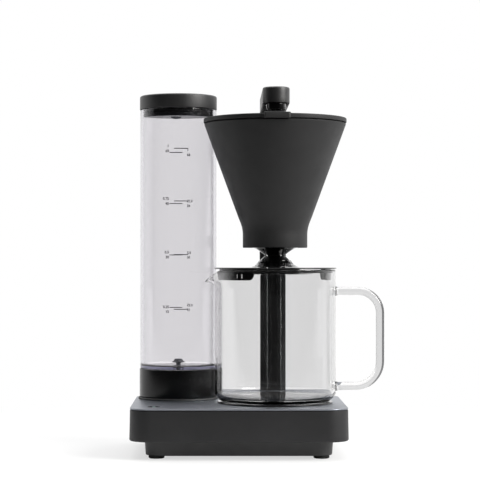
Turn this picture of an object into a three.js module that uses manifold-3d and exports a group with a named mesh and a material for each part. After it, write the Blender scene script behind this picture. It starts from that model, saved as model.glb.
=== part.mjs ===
// Compact drip coffee brewer: low slab base, lift-off water tank, hot-water column and arm,
// cone filter holder with a drip stop, and a glass jug with a glass handle.
// Millimetres, +Z up, X to the right, Y to the rear. The pieces are drawn about the centre of the
// base, then moved so that the origin is the centre of the whole footprint, handle and cord
// included, on the table plane.
import * as THREE from "three";
import { mergeVertices } from "three/addons/utils/BufferGeometryUtils.js";
import Module from "manifold-3d";

const wasm = await Module();
wasm.setup();

// ---------------------------------------------------------------- driving dimensions
const FOOTPRINT = { x: 20.7, y: 13.42 }; // footprint centre, seen from the base centre
const GAP = 0.3; // running and seating clearance between neighbouring pieces

// Base slab: half sizes are at the top edge, and it grows by the draft towards its foot.
const BASE = { halfX: 109, halfY: 93.4, draft: 0.6, corner: 22, bottom: 17.8, top: 49.2 };
const DECK = 2.4;
const WALL = 2.6;
const PLATE = { bottom: BASE.top + GAP, top: 50.8 };
const PAN = { halfX: 94.5, halfY: 80, corner: 16, bottom: 3 };
const FOOT_RADIUS = 8;
const FEET = [["front_left", -1, -1], ["front_right", 1, -1], ["rear_left", -1, 1], ["rear_right", 1, 1]]
  .map(([name, sideX, sideY]) => ({ name, x: sideX * 82.5, y: sideY * 68.5 }));
const PAN_SCREWS = [
  { name: "front_left", x: -50, y: -62 },
  { name: "front_right", x: 60, y: -68 },
  { name: "rear_left", x: -20, y: 70 },
  { name: "rear_right", x: 80, y: 56 },
];
const BUTTON = { x: -85.5, y: -62.5, radius: 6.7 };
const CORD = { x: 76, z: 32 };
const BOARD = { bottom: 36.5, top: 38.1 };

// Water tank
const TANK = { x: -63.3, y: 48, radius: 40.6, bore: 37.6, bottom: 83.3, floor: 86, top: 357.7 };
const TANK_OPENING = 31; // radius of the hole under the tank
const CUP = { radius: 41.3, bottom: 53.4, top: TANK.bottom - GAP };
const SOCKET_RADIUS = 42.6;
const CAP = { radius: 41, bottom: 358.2, top: 372.6 };
const PLUG = { radius: 36.9, bottom: 349.3 };
const VENT = { x: TANK.x - 2.6, y: TANK.y }; // a little off the cap's centre

// Brewing axis, shared by the jug and the filter holder
const BREW = { x: 38, y: -8 };
const HOT_PLATE = { radius: 59.5, top: 52.3 };
const JUG = { radius: 62.6, bore: 60.2, bottom: HOT_PLATE.top + GAP, top: 188.2 };
const HANDLE = { x: 146.7, top: 166, bottom: 67.8, radius: 4.3, topBend: 22.5, bottomBend: 26 };
// Pulled lip: reach, drop, half width in degrees and the height where it starts
const SPOUT = { reach: 10.9, drop: 10, halfAngle: 30, bottom: 164 };
const LID = { radius: 63.6, bottom: JUG.top + GAP, top: 190.4 };
const DOME_TOP = 202.6;
const WAIST_RADIUS = 10.3; // where the dome and the drip valve face each other

// Filter holder
const RIM = { radius: 73.5, z: 339 };
const CONE = { radius: 37.8, z: 241.7 }; // foot of the cone
const NECK = { radius: 33.4, bottom: 210.9, top: 226 };
const HOLDER_WALL = 2.6;
const NOSE = { radius: 23.7, bottom: 203.1 };
const FILTER_LID = { radius: 73.9, bottom: 340, top: 344.4 };
const TONGUE = { halfWidth: 8.6, bottom: 215.4, top: 220.6 };

// Column and arm
const COLUMN = { left: 24, right: 52.4, front: 67.5, rear: 90, corner: 7, bottom: 34 };
const COLUMN_BOUNDS = [COLUMN.left, COLUMN.right, COLUMN.front, COLUMN.rear];
const COLUMN_SCREWS = [["lower", 66], ["upper", 340]]; // name, z
const COLUMN_SLOT = { halfWidth: 8, bottom: 54, top: 352 };
const ARM = { halfWidth: 13.8, bottom: 358, top: 374.3 };
const OUTLET = { x: 38.3, y: -34 }; // also the centre of the arm's round nose
const SPRAY = { radius: 10, bottom: 351.5 };
const RISER = { x: (COLUMN.left + COLUMN.right) / 2, y: 78.5 };
const RISER_HOLE = 4.9; // radius

// Water path under the deck
const CHECK_VALVE = { x: -11, y: 47, z: 18.5 };
const HEATER_RADIUS = 36;
const HEATER_END_ANGLE = THREE.MathUtils.degToRad(55);
const HEATER_END = {
  left: BREW.x - HEATER_RADIUS * Math.cos(HEATER_END_ANGLE),
  right: BREW.x + HEATER_RADIUS * Math.cos(HEATER_END_ANGLE),
  y: BREW.y + HEATER_RADIUS * Math.sin(HEATER_END_ANGLE),
  z: 38,
};

const LEFT = [-1, 0, 0];
const RIGHT = [1, 0, 0];
const FRONT = [0, -1, 0];
const REAR = [0, 1, 0];
const UP = [0, 0, 1];
const DOWN = [0, 0, -1];

// ---------------------------------------------------------------- materials
const material = (name, finish) => new THREE.MeshStandardMaterial({ name, ...finish });
const CLEAR = { transparent: true, opacity: 0.3 };
const FINISH = {
  charcoal: material("charcoal_plastic", { color: 0x303133, roughness: 0.62 }),
  pan: material("pan_plastic", { color: 0x1f2021, roughness: 0.7 }),
  topPlate: material("top_plate_metal", { color: 0x5a5d63, roughness: 0.34, metalness: 0.85 }),
  gloss: material("gloss_black_plastic", { color: 0x0c0c0d, roughness: 0.12 }),
  enamel: material("hot_plate_enamel", { color: 0x141415, roughness: 0.35, metalness: 0.2 }),
  tank: material("tank_clear", { color: 0xdcdcea, roughness: 0.05, ...CLEAR }),
  glass: material("jug_glass", { color: 0xe4e8e8, roughness: 0.02, ...CLEAR }),
  grey: material("grey_plastic", { color: 0x6d6f72, roughness: 0.5 }),
  pale: material("pale_plastic", { color: 0xc9c9cd, roughness: 0.45 }),
  rubber: material("black_rubber", { color: 0x161616, roughness: 0.85 }),
  silicone: material("silicone", { color: 0xd8d6cf, roughness: 0.6 }),
  steel: material("steel", { color: 0xb4b6b8, roughness: 0.3, metalness: 1 }),
  aluminium: material("cast_aluminium", { color: 0xa7a9ab, roughness: 0.55, metalness: 0.9 }),
  board: material("circuit_board", { color: 0x1f5a36, roughness: 0.5 }),
  lens: material("lens", { color: 0xb9d8cf, roughness: 0.2 }),
  leads: material("leads", { color: 0x8a3a2a, roughness: 0.6 }),
};

// ---------------------------------------------------------------- solids and meshes
const radians = THREE.MathUtils.degToRad;
const around = (centre, half) => [centre - half, centre + half];

// A closed geometry as a solid, turned so that its faces point out.
function solidFrom(geometry) {
  geometry.deleteAttribute("normal");
  geometry.deleteAttribute("uv");
  const welded = mergeVertices(geometry, 1e-4);
  const index = welded.index.array;
  const triangles = [];
  for (let i = 0; i < index.length; i += 3) {
    const corners = [...index.slice(i, i + 3)];
    if (new Set(corners).size === 3) triangles.push(...corners);
  }
  const build = () =>
    new wasm.Manifold(
      new wasm.Mesh({
        numProp: 3,
        vertProperties: new Float32Array(welded.attributes.position.array),
        triVerts: new Uint32Array(triangles),
      }),
    );
  const body = build();
  if (body.volume() >= 0) return body;
  for (let i = 0; i < triangles.length; i += 3)
    [triangles[i + 1], triangles[i + 2]] = [triangles[i + 2], triangles[i + 1]];
  return build();
}

function geometryOf(body) {
  const { vertProperties, triVerts } = body.getMesh();
  const geometry = new THREE.BufferGeometry();
  geometry.setAttribute("position", new THREE.BufferAttribute(new Float32Array(vertProperties), 3));
  geometry.setIndex(new THREE.BufferAttribute(new Uint32Array(triVerts), 1));
  geometry.computeVertexNormals();
  return geometry;
}

function solidFromArrays(positions, index) {
  const geometry = new THREE.BufferGeometry();
  geometry.setAttribute("position", new THREE.Float32BufferAttribute(positions, 3));
  geometry.setIndex(index);
  return solidFrom(geometry);
}

// ---------------------------------------------------------------- turned shapes and blocks
// Profiles are [radius, distance along the axis]. This one turns about the Y axis.
const turned = (profile, segments) =>
  new THREE.LatheGeometry(profile.map((point) => new THREE.Vector2(...point)), segments);
const turnedUpright = (profile, segments) => turned(profile, segments).rotateX(Math.PI / 2);

// Turns [radius, z] points about the vertical axis through { x, y }.
const lathe = (profile, { x, y }, segments) =>
  solidFrom(turnedUpright(profile, segments).translate(x, y, 0));

// A ring profile closes on itself.
const ring = (profile, axis, segments) => lathe([...profile, profile[0]], axis, segments);

function disc({ x, y }, radius, bottom, top, segments) {
  const geometry = new THREE.CylinderGeometry(radius, radius, top - bottom, segments);
  return solidFrom(geometry.rotateX(Math.PI / 2).translate(x, y, (bottom + top) / 2));
}

// Each argument is the [low, high] extent along one axis.
function block(...extents) {
  const geometry = new THREE.BoxGeometry(...extents.map(([low, high]) => high - low));
  return solidFrom(geometry.translate(...extents.map(([low, high]) => (low + high) / 2)));
}

// ---------------------------------------------------------------- lofts
// Points on a level arc, counter-clockwise seen from above; angles in degrees.
function levelArc(x, y, radius, start, span, steps, z) {
  const points = [];
  for (let i = 0; i <= steps; i++) {
    const angle = radians(start + (span * i) / steps);
    const point = [x + radius * Math.cos(angle), y + radius * Math.sin(angle), z];
    points.push(new THREE.Vector3(...point));
  }
  return points;
}

// One level of a rounded rectangle; bounds are [left, right, front, rear].
function level([left, right, front, rear], radius, z, steps = 4) {
  const corner = (x, y, start) => levelArc(x, y, radius, start, 90, steps, z);
  return [
    ...corner(right - radius, rear - radius, 0),
    ...corner(left + radius, rear - radius, 90),
    ...corner(left + radius, front + radius, 180),
    ...corner(right - radius, front + radius, 270),
  ];
}
const grown = ([left, right, front, rear], by) => [left - by, right + by, front - by, rear + by];

// Joins successive equal-count levels with quads; a closed stack also joins its last to its first.
function stitch(levels, closed) {
  const count = levels[0].length;
  const index = [];
  for (let k = 0; k < levels.length - (closed ? 0 : 1); k++)
    for (let i = 0; i < count; i++) {
      const lower = k * count;
      const upper = ((k + 1) % levels.length) * count;
      const next = (i + 1) % count;
      index.push(lower + i, lower + next, upper + next, lower + i, upper + next, upper + i);
    }
  return { positions: levels.flat().flatMap((point) => point.toArray()), index };
}

// Skins a stack of levels and caps both ends.
function loft(levels) {
  const count = levels[0].length;
  const { positions, index } = stitch(levels, false);
  const cap = (k, facesUp) => {
    const centre = new THREE.Vector3();
    for (const point of levels[k]) centre.addScaledVector(point, 1 / count);
    const centreIndex = positions.length / 3;
    positions.push(...centre.toArray());
    for (let i = 0; i < count; i++) {
      const edge = [k * count + i, k * count + ((i + 1) % count)];
      index.push(centreIndex, ...(facesUp ? edge : edge.reverse()));
    }
  };
  cap(0, false);
  cap(levels.length - 1, true);
  return solidFromArrays(positions, index);
}

const slab = (bounds, radius, bottom, top, steps) =>
  loft([level(bounds, radius, bottom, steps), level(bounds, radius, top, steps)]);

// A curved wall between two radii; angles in degrees.
// bottomAt(t) gives its lower edge, t running from 0 to 1.
function curvedWall({ axis, inner, outer, start, end, bottomAt, top, steps }) {
  const levels = [];
  for (let i = 0; i <= steps; i++) {
    const t = i / steps;
    const angle = radians(start + (end - start) * t);
    const at = (radius, z) =>
      new THREE.Vector3(axis.x + radius * Math.cos(angle), axis.y + radius * Math.sin(angle), z);
    const bottom = bottomAt(t);
    levels.push([at(inner, bottom), at(outer, bottom), at(outer, top), at(inner, top)]);
  }
  return loft(levels);
}

// ---------------------------------------------------------------- rods, hoses and their paths
// Circles square to a run of points.
function sweepCircles(path, radiusAt, sides) {
  const points = path.map((point) => new THREE.Vector3(...point));
  const step = (i) => new THREE.Vector3().subVectors(points[i + 1], points[i]).normalize();
  const tangents = points.map((point, i) => {
    const tangent = new THREE.Vector3();
    if (i > 0) tangent.add(step(i - 1));
    if (i < points.length - 1) tangent.add(step(i));
    return tangent.normalize();
  });
  let side = new THREE.Vector3(...(Math.abs(tangents[0].x) > 0.8 ? REAR : RIGHT));
  return points.map((point, i) => {
    side = side.clone().addScaledVector(tangents[i], -side.dot(tangents[i])).normalize();
    const across = new THREE.Vector3().crossVectors(tangents[i], side);
    const circle = [];
    for (let k = 0; k < sides; k++) {
      const angle = (2 * Math.PI * k) / sides;
      circle.push(
        point.clone()
          .addScaledVector(side, radiusAt(i) * Math.cos(angle))
          .addScaledVector(across, radiusAt(i) * Math.sin(angle)),
      );
    }
    return circle;
  });
}

// radius is a number, or one number per point.
const rod = (path, radius, sides = 10) =>
  loft(sweepCircles(path, (i) => (Array.isArray(radius) ? radius[i] : radius), sides));

function hose(path, radius, bore) {
  const outer = sweepCircles(path, () => radius, 8);
  const inner = sweepCircles(path, () => bore, 8);
  const { positions, index } = stitch([...outer, ...inner.reverse()], true);
  return solidFromArrays(positions, index);
}

// Points along a smooth curve through the given points.
function curve(through, count) {
  const points = through.map((point) => new THREE.Vector3(...point));
  const spline = new THREE.CatmullRomCurve3(points, false, "centripetal");
  return spline.getSpacedPoints(count).map((point) => point.toArray());
}

// An arc that leaves direction "from" towards direction "to"; angles in degrees.
function arc(centre, from, to, radius, start, end, steps) {
  const points = [];
  for (let i = 0; i <= steps; i++) {
    const angle = radians(start + ((end - start) * i) / steps);
    const offset = (k) => from[k] * Math.cos(angle) + to[k] * Math.sin(angle);
    points.push(centre.map((value, k) => value + radius * offset(k)));
  }
  return points;
}

function coil({ axis, bottom, top, radius, wire, turns, stepsPerTurn }) {
  const path = [];
  const steps = turns * stepsPerTurn;
  for (let i = 0; i <= steps; i++) {
    const angle = (2 * Math.PI * i) / stepsPerTurn;
    const z = bottom + wire + ((top - bottom - 2 * wire) * i) / steps;
    path.push([axis.x + radius * Math.cos(angle), axis.y + radius * Math.sin(angle), z]);
  }
  return rod(path, wire, 4);
}

// ---------------------------------------------------------------- base shells
const centred = ({ halfX, halfY, corner }, grow, cornerGrow, z) =>
  level([-halfX - grow, halfX + grow, -halfY - grow, halfY + grow], corner + cornerGrow, z);

// Openings through the deck or the top plate: hot plate, tank, button and column.
function cutOpenings(body, { hotPlateRadius, hotPlateSegments, buttonSegments }) {
  return body
    .subtract(disc(BREW, hotPlateRadius, 40, 60, hotPlateSegments))
    .subtract(disc(TANK, TANK_OPENING, 40, 60, 22))
    .subtract(disc(BUTTON, BUTTON.radius + GAP, 40, 60, buttonSegments))
    .subtract(slab(grown(COLUMN_BOUNDS, GAP), COLUMN.corner, 40, 60));
}

// Drafted slab shell, open underneath, with a deck that carries everything on top.
function baseHousing() {
  let body = loft([
    centred(BASE, BASE.draft - 1.6, -1.2, BASE.bottom),
    centred(BASE, BASE.draft - 0.5, -0.2, BASE.bottom + 0.6),
    centred(BASE, BASE.draft, 0.3, BASE.bottom + 2),
    centred(BASE, 0.02, 0, BASE.top - 0.6),
    centred(BASE, -0.6, -0.6, BASE.top),
  ]);
  const hollow = [BASE.bottom - 1, BASE.top - DECK].map((z) => centred(BASE, -WALL, -WALL, z));
  body = cutOpenings(body.subtract(loft(hollow)), {
    hotPlateRadius: HOT_PLATE.radius - 1.9,
    hotPlateSegments: 26,
    buttonSegments: 12,
  });
  // posts for the control board, then bored posts for the pan screws
  const postTop = BASE.top - DECK + 0.5;
  for (const [x, y] of [[-97, -46], [-62, -70]])
    body = body.add(disc({ x, y }, 3, BOARD.top + GAP, postTop, 12));
  for (const screw of PAN_SCREWS)
    body = body.add(disc(screw, 4, 14, postTop, 12)).subtract(disc(screw, 1.9, 10, 30, 12));
  const cordHole = new THREE.CylinderGeometry(5.6, 5.6, 20, 20).translate(CORD.x, 90, CORD.z);
  return body.subtract(solidFrom(cordHole));
}

// Metal plate with a fine chamfer.
function baseTopPlate() {
  const body = loft([
    centred(BASE, -0.4, -0.4, PLATE.bottom),
    centred(BASE, 0, 0, PLATE.bottom + 0.3),
    centred(BASE, 0, 0, PLATE.top - 0.45),
    centred(BASE, -0.45, -0.45, PLATE.top),
  ]);
  return cutOpenings(body, {
    hotPlateRadius: HOT_PLATE.radius + GAP,
    hotPlateSegments: 36,
    buttonSegments: 18,
  });
}

// Inset plinth: a shallow tray with a flange that closes the housing from below.
function basePan() {
  const flange = -WALL - 0.5;
  let body = loft([
    centred(PAN, -1.9, -1.2, PAN.bottom),
    centred(PAN, -1.1, -0.6, PAN.bottom + 0.8),
    centred(PAN, 0, 0, 18.1),
    centred(BASE, flange, flange, 18.2),
    centred(BASE, flange, flange, 20),
  ]);
  body = body.subtract(
    loft([centred(PAN, -3.6, -2.4, PAN.bottom + 2.4), centred(PAN, -2.4, -2.4, 21)]),
  );
  for (const foot of FEET) body = body.subtract(disc(foot, 3.4, 0, 8, 12));
  for (const screw of PAN_SCREWS)
    body = body
      .add(disc(screw, 5.4, 4, 13.6, 12))
      .subtract(disc(screw, 3.6, 1, 11.4, 12))
      .subtract(disc(screw, 1.9, 1, 20, 12));
  return body;
}

// Round foot with a barbed stud that snaps into the pan.
function foot(place) {
  const seat = PAN.bottom - GAP;
  const profile = [
    [0, 0], [7.2, 0], [FOOT_RADIUS, 0.7], [FOOT_RADIUS, seat], [3, seat],
    [3, 5.8], [4.2, 5.9], [2.6, 8.4], [0, 8.4],
  ];
  return lathe(profile, place, 12);
}

// Cross-head screw, head down.
function panScrew(place) {
  const { x, y } = place;
  const profile = [
    [0, 8.2], [2.4, 8.2], [3.1, 8.9], [3.1, 11.1], [1.5, 11.1], [1.5, 26], [0, 27.2],
  ];
  return lathe(profile, place, 12)
    .subtract(block(around(x, 1.9), around(y, 0.35), [7, 9.4]))
    .subtract(block(around(x, 0.35), around(y, 1.9), [7, 9.4]));
}

// ---------------------------------------------------------------- heating
function hotPlate() {
  const { radius, top } = HOT_PLATE;
  const profile = [
    [0, 44.4], [radius - 3.5, 44.4], [radius - 2.5, 45.4], [radius - 2.5, 49.6], [radius, 49.6],
    [radius, top - 0.5], [radius - 0.7, top], [52, top], [51, top - 0.3], [0, top - 0.3],
  ];
  return lathe(profile, BREW, 30);
}

// Horseshoe bar, open to the rear, with a pipe stub at each end.
function heaterBlock() {
  // bar section: radius, z
  const section = [
    [28, 36], [30, 32], [42, 32], [44, 36], [44, 43.1], [43, 44.1], [29, 44.1], [28, 43.1],
  ];
  const bar = [];
  for (let i = 0; i <= 22; i++) {
    const angle = radians(125 + (290 * i) / 22);
    const at = ([radius, z]) =>
      new THREE.Vector3(BREW.x + radius * Math.cos(angle), BREW.y + radius * Math.sin(angle), z);
    bar.push(section.map(at));
  }
  const { left, right, y, z } = HEATER_END;
  let body = loft(bar);
  for (const x of [left, right]) body = body.add(rod([[x, y - 6, z], [x, y + 10.5, z]], 3.3, 8));
  return body;
}

function thermostat() {
  const axis = { x: BREW.x - 34, y: BREW.y - 10 };
  const profile = [
    [0, 20], [5, 20], [5, 22.5], [8.2, 22.5], [8.2, 31.2], [7.6, 31.7], [0, 31.7],
  ];
  const tabs = block(around(axis.x, 11), around(axis.y, 3), [24, 25.2]);
  return lathe(profile, axis, 24).add(tabs);
}

function thermalFuse() {
  const offsets = [[28, -26], [30, -24], [37, -14], [38, -11.5]]; // x, y from the brewing axis
  return rod(offsets.map(([x, y]) => [BREW.x + x, BREW.y + y, 28.5]), [1.2, 3, 3, 1.2]);
}

// ---------------------------------------------------------------- water path
// Flange that the tank stands in, a stepped well, a hose nipple and a central pin on a bar.
function tankSocket() {
  const profile = [
    [30, PLATE.top + GAP], [SOCKET_RADIUS, PLATE.top + GAP], [SOCKET_RADIUS, 52.3],
    [SOCKET_RADIUS - 0.6, 53], [30.4, 53], [28.2, 51.2], [28.2, 48], [16.6, 48], [15.6, 47],
    [15.6, 34.4], [3, 34.4], [3, 24.6], [3.5, 24.6], [3.5, 32], [17.6, 32], [17.6, 45.6],
    [30, 45.6],
  ];
  return ring(profile, TANK, 26)
    .add(block(around(TANK.x, 15.9), around(TANK.y, 1), [34, 38]))
    .add(disc(TANK, 2.2, 34, 46.6, 12));
}

const socketSeal = () =>
  ring([[11.6, 40.2], [15.2, 40.2], [15.2, 44.6], [13.4, 44.6], [11.6, 43.2]], TANK, 18);

const HOSE_RADIUS = 5.4;
const HOSE_BORE = 3.95;

function tankOutletHose() {
  const { y, z } = CHECK_VALVE;
  const path = [
    [TANK.x, TANK.y, 29],
    ...arc([TANK.x + 12, TANK.y, 24], LEFT, DOWN, 12, 0, 80, 6),
    ...curve([[TANK.x + 20, TANK.y, 12], [-38, 47.4, 14], [-29, y, z]], 4),
    [-18.8, y, z],
  ];
  return hose(path, HOSE_RADIUS, HOSE_BORE);
}

// Lies along X, a nipple at each end.
function checkValve() {
  const profile = [
    [1.6, -16], [3.3, -16], [3.3, -7], [7, -6], [7.4, 6], [3.3, 7], [3.3, 16], [1.6, 16],
    [1.6, -16],
  ];
  const { x, y, z } = CHECK_VALVE;
  return solidFrom(turned(profile, 12).rotateZ(-Math.PI / 2).translate(x, y, z));
}

function heaterInletHose() {
  const { y, z } = CHECK_VALVE;
  const end = HEATER_END;
  const path = [
    [-3.4, y, z],
    ...curve([[6, y, z], [13, 46, 23], [16.6, 42, 32], [end.left, 33, end.z]], 7),
    [end.left, 28.7, end.z],
  ];
  return hose(path, HOSE_RADIUS, HOSE_BORE);
}

function heaterOutletHose() {
  const { right, z } = HEATER_END;
  const through = [
    [right, 33, z], [57, 48, 31], [51, 60, 22], [45, 69.5, 22], [RISER.x + 0.6, 77, 29],
    [RISER.x, RISER.y, 35],
  ];
  const path = [[right, 28.7, z], ...curve(through, 10), [RISER.x, RISER.y, 44]];
  return hose(path, HOSE_RADIUS, 4.35);
}

// ---------------------------------------------------------------- electrics
const controlBoard = () => slab([-101, -60, -74, -42], 3, BOARD.bottom, BOARD.top, 3);

function powerSwitch() {
  const bounds = [...around(BUTTON.x, 4), ...around(BUTTON.y, 4)];
  return slab(bounds, 0.8, BOARD.top + GAP, 41, 2).add(disc(BUTTON, 1.9, 40.5, 42.6, 12));
}

const relay = () => slab([-75.5, -63, -60, -48], 1, BOARD.top + GAP, 46.2, 2);

const leads = (through, count) => rod(curve(through, count), 1.9, 6);

const heaterLeads = () =>
  leads([[-60.5, -52, 32], [-52, -48, 26], [-30, -36, 22], [-14, -32, 22], [-6.5, -26, 24]], 8);

function mainsLeads() {
  const through = [
    [70, 82, 30], [60, 62, 12], [30, 40, 9.5], [-30, 0, 9.5], [-70, -40, 14], [-78, -54, 32],
  ];
  return leads(through, 14);
}

function cordStrainRelief() {
  // radius, distance to the rear of the housing wall
  const profile = [
    [3.4, -8], [6.6, -8], [6.6, -4.4], [5.2, -4.4], [5.2, GAP], [8.2, GAP], [8.2, 2.2],
    [5.8, 3.4], [4.6, 15], [3.4, 15], [3.4, -8],
  ];
  return solidFrom(turned(profile, 12).translate(CORD.x, 94.1, CORD.z));
}

// The first length of the cord, drooping at its end.
function mainsCord() {
  const { x, z } = CORD;
  const droop = arc([x, 108, z - 12], UP, REAR, 12, 20, 60, 3);
  return rod([[x, 84, z], [x, 108, z], ...droop], 3.05, 12);
}

function powerButton() {
  const { radius } = BUTTON;
  const profile = [
    [2, 47.5], [2, 50.9], [radius - 0.6, 50.9], [radius, 50.4], [radius, 46.5], [8.4, 46.5],
    [8.4, 44.6], [0.9, 44.2], [0.9, 47.5],
  ];
  return ring(profile, BUTTON, 16);
}

const buttonLight = () =>
  lathe([[0, 47.8], [1.7, 47.8], [1.7, 50.6], [1.3, 51], [0, 51]], BUTTON, 12);

// ---------------------------------------------------------------- column and arm
// A rod along Y at the riser; its ends are measured from the column's rear face.
const rearRod = (z, radius, from, to, sides) =>
  rod([[RISER.x, COLUMN.rear + from, z], [RISER.x, COLUMN.rear + to, z]], radius, sides);

// Hollow column with a slot down its rear and two screw bridges round the riser.
function columnShell() {
  const { left, right, rear, corner, bottom } = COLUMN;
  const top = ARM.bottom - GAP;
  const slot = COLUMN_SLOT;
  let body = slab(COLUMN_BOUNDS, corner, bottom, top)
    .subtract(slab(grown(COLUMN_BOUNDS, -2), corner - 2, bottom - 1, top + 1))
    .subtract(
      block(around(RISER.x, slot.halfWidth), [rear - 4, rear + 2], [slot.bottom, slot.top]),
    );
  for (const [, z] of COLUMN_SCREWS)
    body = body
      .add(block([left + 1, right - 1], [rear - 6.8, rear - 4.6], around(z, 4)))
      .subtract(rearRod(z, 1.6, -8, 0))
      .subtract(disc(RISER, RISER_HOLE, z - 6, z + 6, 12));
  return body;
}

// Cross-head screw, head to the rear.
function columnScrew(z) {
  const profile = [
    [0, -6.6], [1.25, -6.2], [1.25, -2.2], [2.8, -2.2], [2.8, -0.9], [2.2, -0.4], [0, -0.4],
  ];
  const depth = [COLUMN.rear - 1.3, COLUMN.rear];
  return solidFrom(turned(profile, 12).translate(RISER.x, COLUMN.rear, z))
    .subtract(block(around(RISER.x, 1.7), depth, around(z, 0.3)))
    .subtract(block(around(RISER.x, 0.3), depth, around(z, 1.7)));
}

// Strip that fills the slot, with a counterbored boss at each screw.
function columnRearCover() {
  const { halfWidth, bottom, top } = COLUMN_SLOT;
  const sides = around(RISER.x, halfWidth - GAP);
  const bounds = [...sides, COLUMN.rear - 1.8, COLUMN.rear - 0.1];
  let body = slab(bounds, 0.8, bottom + GAP, top - GAP, 2);
  for (const [, z] of COLUMN_SCREWS)
    body = body
      .add(rearRod(z, 4.4, -4.3, -1, 16))
      .subtract(rearRod(z, 3.2, -2.6, 1, 16))
      .subtract(rearRod(z, 1.6, -8, 1));
  return body;
}

// Arm outline: two rounded rear corners and a full-round nose at the front.
function armLevel(inset, z) {
  const half = ARM.halfWidth - inset;
  const radius = COLUMN.corner - inset;
  const cornerY = COLUMN.rear - inset - radius;
  return [
    ...levelArc(OUTLET.x + half - radius, cornerY, radius, 0, 90, 4, z),
    ...levelArc(OUTLET.x - half + radius, cornerY, radius, 90, 90, 4, z),
    ...levelArc(OUTLET.x, OUTLET.y, half, 180, 180, 16, z),
  ];
}

function armShell() {
  const { bottom, top } = ARM;
  return loft([
    armLevel(0, bottom), armLevel(0, top - 1.6), armLevel(0.45, top - 0.5), armLevel(1.5, top),
  ]).subtract(loft([armLevel(2, bottom - 1), armLevel(2, top - 2)]));
}

const armLowerCover = () =>
  loft([armLevel(2.3, ARM.bottom + 0.1), armLevel(2.3, ARM.bottom + 1.5)])
    .subtract(disc(RISER, RISER_HOLE, 350, 365, 12))
    .subtract(disc(OUTLET, RISER_HOLE, 350, 365, 12));

function outletSpout() {
  const { radius, bottom } = SPRAY;
  const seat = ARM.bottom;
  const profile = [
    [4.7, 361.5], [7.5, 361.5], [7.5, seat + 1.8], [4.6, seat + 1.8], [4.6, seat - GAP],
    [radius - 0.4, seat - GAP], [radius, seat - 0.8], [radius, 353.2], [radius - 0.6, 353.2],
    [radius - 0.6, 352], [radius - 1.2, bottom], [3, bottom], [3, 355], [4.2, 357],
  ];
  return ring(profile, OUTLET, 18);
}

// Up the column, forward along the arm and down into the outlet.
function riserTube() {
  const top = 367;
  const rearBend = 8;
  const frontBend = 7;
  const path = [
    [RISER.x, RISER.y, 36],
    ...arc([RISER.x, RISER.y - rearBend, top - rearBend], REAR, UP, rearBend, 0, 90, 5),
    ...arc([OUTLET.x, OUTLET.y + frontBend, top - frontBend], UP, FRONT, frontBend, 0, 90, 5),
    [OUTLET.x, OUTLET.y, 358.8],
  ];
  return hose(path, 3.6, 2.4);
}

// Bracket that the filter holder's tongue plugs into.
function holderBracket() {
  const { halfWidth, bottom, top } = TONGUE;
  const bounds = [BREW.x - 11.5, BREW.x + 12.1, 30, COLUMN.front - GAP];
  const socket = block(around(BREW.x, halfWidth + GAP), [20, 58], [bottom - GAP, top + GAP]);
  return slab(bounds, 2, 211.6, 224.4, 3).subtract(socket);
}

// ---------------------------------------------------------------- water tank
function waterTank() {
  const { radius, bore, bottom, floor, top } = TANK;
  const profile = [
    [4, bottom], [radius - 1, bottom], [radius, bottom + 1], [radius, top - 0.4],
    [radius - 0.4, top], [bore + 0.5, top], [bore, top - 0.6], [bore, floor + 3],
    [bore - 1, floor + 0.9], [bore - 3, floor], [4, floor],
  ];
  return ring(profile, TANK, 30);
}

// Cup under the tank, with the valve tube at its centre.
function tankBaseCup() {
  const { radius, bottom, top } = CUP;
  const profile = [
    [4, top], [4, 80.6], [7.2, 80.6], [7.2, 41], [8.2, 40], [10.2, 40], [11.2, 41.2], [11.2, 78],
    [13.5, 80.4], [36.5, 80.4], [38.9, 78], [38.9, bottom], [radius - 0.8, bottom],
    [radius, bottom + 0.9], [radius, top - 0.8], [radius - 0.6, top],
  ];
  return ring(profile, TANK, 26);
}

// Mushroom head, stem and a foot that carries the spring.
function tankValve() {
  const profile = [
    [0, 50.2], [5.6, 50.2], [5.6, 52], [2.4, 52.6], [2.4, 89], [6.2, 89.3], [6.8, 90.2],
    [6.4, 92], [4.6, 93.1], [0, 93.4],
  ];
  return lathe(profile, TANK, 12);
}

const tankValveSpring = () =>
  coil({
    axis: TANK, bottom: 52.9, top: 80.2, radius: 5.4, wire: 0.55, turns: 5, stepsPerTurn: 8,
  });

// Hollow cap with a plug that is grooved for its seal.
function tankCap() {
  const { radius, bottom, top } = CAP;
  const profile = [
    [0, top], [radius - 1.8, top], [radius - 0.55, top - 0.55], [radius, top - 1.8],
    [radius, bottom], [PLUG.radius, bottom], [PLUG.radius, 355.5], [35.7, 355.5],
    [35.7, 352.7], [PLUG.radius, 352.7], [PLUG.radius, PLUG.bottom + 0.4],
    [PLUG.radius - 0.2, PLUG.bottom], [36.3, PLUG.bottom], [36.3, 351.5], [33.8, 351.5],
    [33.8, top - 2.6], [0, top - 2.6],
  ];
  return lathe(profile, TANK, 30);
}

const tankCapSeal = () => ring([[36, 353.1], [37.3, 353.8], [37.3, 354.4], [36, 355.1]], TANK, 30);

function tankCapVent() {
  const top = CAP.top - 2.9;
  const profile = [
    [1.4, 347.4], [3.6, 347.4], [5.4, 348.2], [6, 349.4], [6, 351.4], [3.6, 352.4], [3.6, top],
    [1.4, top],
  ];
  return ring(profile, VENT, 12);
}

// Disc that closes the underside of the cap, with the vent through it.
const tankCapPlate = () =>
  lathe([[0, 349.5], [35.7, 349.5], [36, 349.8], [36, 351.2], [0, 351.2]], TANK, 30)
    .subtract(disc(VENT, 6 + GAP, 340, 360, 12));

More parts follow.
